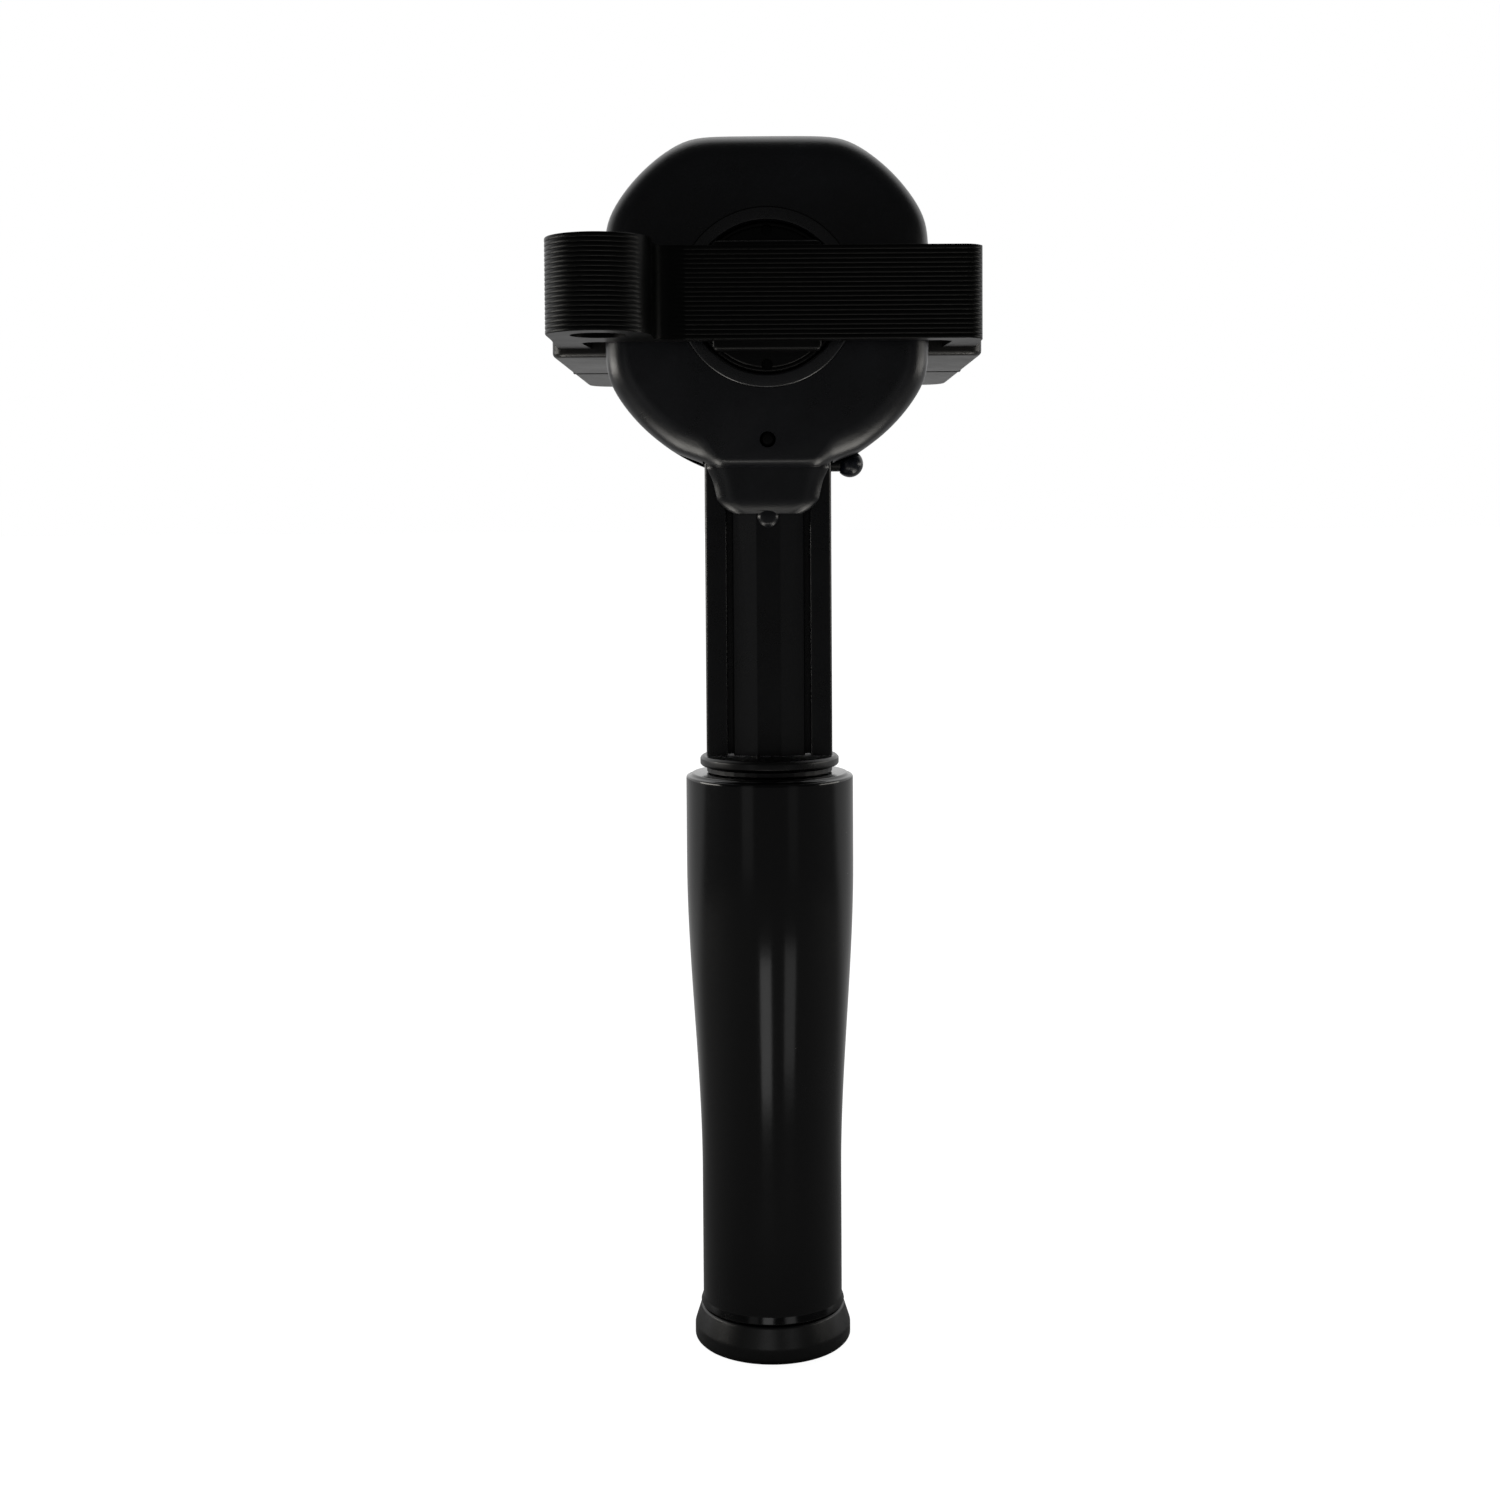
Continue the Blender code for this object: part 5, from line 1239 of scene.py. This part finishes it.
def make_grip():
    length = sleeve_high.z - sleeve_low.z
    core_low, core_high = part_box("grip_core")
    inner = core_high.x + GAP
    down = (0, 0, -1)
    profile = [
        (inner, 0),
        (GRIP_TOP_RADIUS - 0.0012, 0),
        (GRIP_TOP_RADIUS - 0.0008, 0.0004),
        (GRIP_TOP_RADIUS - 0.0001, 0.0006),
        (GRIP_TOP_RADIUS, 0.0010),
    ]
    steps = 44
    for step in range(steps + 1):
        drop = 0.0020 + (length - 0.0040) * step / steps
        profile.append((sleeve_radius(drop), drop))
    profile += [
        (GRIP_WAIST_RADIUS, length - 0.0015),
        (GRIP_FOOT_RADIUS, length - 0.0002),
        (GRIP_FOOT_RADIUS - 0.0002, length),
        (inner, length),
    ]
    sleeve = turned("grip_sleeve_smooth", profile, (0, seam_y, sleeve_high.z), down, GRIP_SEGMENTS, 0.0003)
    place_piece(sleeve, "grip", ["grip_sleeve"], "grip")

    radius = collar_high.x
    thickness = collar_high.z - collar_low.z
    profile = [
        (SPINDLE_BORE, 0),
        (radius - 0.0005, 0),
        (radius, 0.0005),
        (radius, thickness - 0.0004),
        (radius - 0.0004, thickness),
        (SPINDLE_BORE, thickness),
    ]
    collar = turned("arm_collar", profile, (0, seam_y, collar_high.z), down, 96, 0.0002)
    place_piece(collar, "handle", ["collar_ring"], "collar")

    plug = cap_high.z - (sleeve_low.z - GAP)
    plug_radius = -core_low.x - PLUG_WALL
    cap_length = sleeve_low.z - GAP - cap_low.z
    cap_radius = cap_high.x
    profile = [
        (0, -plug),
        (plug_radius, -plug),
        (plug_radius, 0),
        (GRIP_FOOT_RADIUS - 0.0003, 0),
        (GRIP_FOOT_RADIUS, 0.0003),
        (cap_radius - 0.0002, 0.0034),
        (cap_radius, 0.0040),
        (cap_radius, cap_length - 0.0008),
        (cap_radius - 0.0008, cap_length),
        (0.0105, cap_length),
        (0.0100, cap_length - 0.0005),
        (0.0030, cap_length - 0.0005),
        (0.0024, cap_length - 0.0012),
        (0, cap_length - 0.0012),
    ]
    cap = turned("grip_end_cap", profile, (0, seam_y, sleeve_low.z - GAP), down, 128, 0.0004)
    place_piece(cap, "grip", ["end_cap"], "cap")


# ---- CAD nodes that stay ------------------------------------------------------------------------
KEPT = {
    "front_bush": "bronze",
    "rear_bush": "bronze",
    "bridge_bolt_left": "steel",
    "bridge_bolt_right": "steel",
    "hub_screw": "steel",
    "drive_washer": "steel",
    "drive_detent_spring": "spring",
    "grip_washer": "washer",
    "grip_spindle": "steel",
    "end_washer": "steel",
    "end_screw": "steel",
    "selector_detent_ball": "ball",
    "selector_detent_spring": "spring",
    "grip_core": "core",
    "grip_upper_bush": "acetal",
    "grip_lower_bush": "acetal",
    "pawl": "steel",
    "selector_rod": "hub",
}


def finish_kept_nodes():
    for name, finish in KEPT.items():
        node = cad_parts[name]
        for material_slot in node.material_slots:
            material_slot.material = FINISHES[finish]


# ---- Stage --------------------------------------------------------------------------------------
def make_stage():
    """A wide pale floor. Its glow shows only straight to the eye, so it doesn't flood the piece."""
    segments = 96
    points = []
    for radius in FLOOR_RADII:
        for step in range(segments):
            angle = 2 * math.pi * step / segments
            points.append((radius * math.cos(angle), radius * math.sin(angle), cap_low.z - FLOOR_GAP))
    faces = [list(range(segments))] + skin(0, len(FLOOR_RADII) - 1, segments)
    mesh = bpy.data.meshes.new("pale_floor")
    mesh.from_pydata(points, [], faces)
    mesh.transform(Matrix.Translation((0, seam_y, 0)))
    made, write, shader, place = start_finish("pale_paper")
    cloud = write.noise(place, 6.0, 2.0)
    colour = write.blend(cloud, (0.24, 0.24, 0.24, 1.0), (0.27, 0.27, 0.27, 1.0))
    write.tree.links.new(colour.socket, shader.inputs["Base Color"])
    shader.inputs["Roughness"].default_value = 0.9
    shader.inputs["Specular IOR Level"].default_value = 0.1
    shader.inputs["Emission Color"].default_value = (1.0, 1.0, 1.0, 1.0)
    straight = write.node("ShaderNodeLightPath", None, None, "Is Camera Ray")
    behind = write.node("ShaderNodeSeparateXYZ", None, {0: place}, "Y").step(*FLOOR_TURN) * FLOOR_BEHIND
    glow = behind + straight * (FLOOR_GLOW - behind)
    write.tree.links.new(glow.socket, shader.inputs["Emission Strength"])
    mesh.materials.append(made)
    floor = link_object("pale_floor", mesh)


def area_light(name, place, target, size, power, tone=(1.0, 1.0, 1.0), spread=180):
    data = bpy.data.lights.new(name, "AREA")
    data.shape = "RECTANGLE"
    data.size, data.size_y = size
    data.energy = power
    data.color = tone
    data.spread = math.radians(spread)
    lamp = link_object(name, data)
    lamp.location = place
    lamp.rotation_euler = (Vector(target) - Vector(place)).to_track_quat("-Z", "Y").to_euler()
    lamp.visible_camera = False


def make_air():
    """White air behind the piece and dim air in front of it. The eye sees it white all round."""
    world = bpy.data.worlds.new("studio_air")
    bpy.context.scene.world = world
    world.use_nodes = True
    write = Wire(world.node_tree)
    facing = write.node("ShaderNodeTexCoord", None, None, "Generated")
    back = write.node("ShaderNodeSeparateXYZ", None, {0: facing}, "Y").step(*AIR_TURN)
    straight = write.node("ShaderNodeLightPath", None, None, "Is Camera Ray")
    level = AIR_FRONT + back * (AIR_BACK - AIR_FRONT)
    level = level + straight * (AIR_SEEN - level)
    background = world.node_tree.nodes["Background"]
    background.inputs["Color"].default_value = (1.0, 1.0, 1.0, 1.0)
    world.node_tree.links.new(level.socket, background.inputs["Strength"])


def make_lights():
    middle = (0.0, -0.10, -0.08)
    area_light("over_stage", (0.0, 0.7, 1.5), (0.0, 0.4, -0.2), (1.6, 1.6), 5)
    for name, place, size, power, spread in (
        ("under_front", (0.0, -0.31, -0.200), (0.26, 0.07), 0.085, 125),
        ("under_left", (-0.15, -0.17, -0.203), (0.14, 0.14), 0.12, 100),
        ("under_right", (0.15, -0.17, -0.203), (0.14, 0.14), 0.11, 100),
    ):
        area_light(name, place, Vector(place) + Vector((0, 0.0001, 1)), size, power, BEIGE, spread)
    area_light("low_left", (-0.014, -0.235, -0.177), (0.0, -0.13, -0.170), (0.030, 0.038), 0.0036)
    area_light("low_right", (0.056, -0.235, -0.177), (0.0, -0.13, -0.170), (0.034, 0.038), 0.0021)
    area_light("front_left", (-0.28, -0.60, -0.06), middle, (0.15, 0.30), 0.022)
    area_light("front_right", (0.29, -0.60, -0.06), middle, (0.13, 0.30), 0.009)
    area_light("left_side", (-0.45, -0.12, -0.045), (0.0, -0.12, -0.045), (0.30, 0.080), 0.42, BEIGE)
    area_light("right_side", (0.45, -0.12, -0.045), (0.0, -0.12, -0.045), (0.30, 0.080), 0.22, BEIGE)


def make_camera():
    data = bpy.data.cameras.new("front_camera")
    data.lens = CAMERA_LENS
    data.sensor_width = CAMERA_SENSOR
    data.shift_x = CAMERA_SHIFT[0]
    data.shift_y = CAMERA_SHIFT[1]
    data.clip_start = 0.01
    camera = link_object("front_camera", data)
    camera.location = CAMERA_PLACE
    aim = Matrix.Rotation(math.radians(90 - CAMERA_PITCH), 4, "X")
    camera.rotation_euler = (aim @ Matrix.Rotation(math.radians(CAMERA_ROLL), 4, "Z")).to_euler()
    bpy.context.scene.camera = camera


bpy.context.scene.view_settings.view_transform = "Standard"
make_camera()
make_bridge()
make_block()
make_head()
make_hub()
make_drive()
make_arm()
make_knob()
make_grip()
finish_kept_nodes()
make_stage()
make_air()
make_lights()
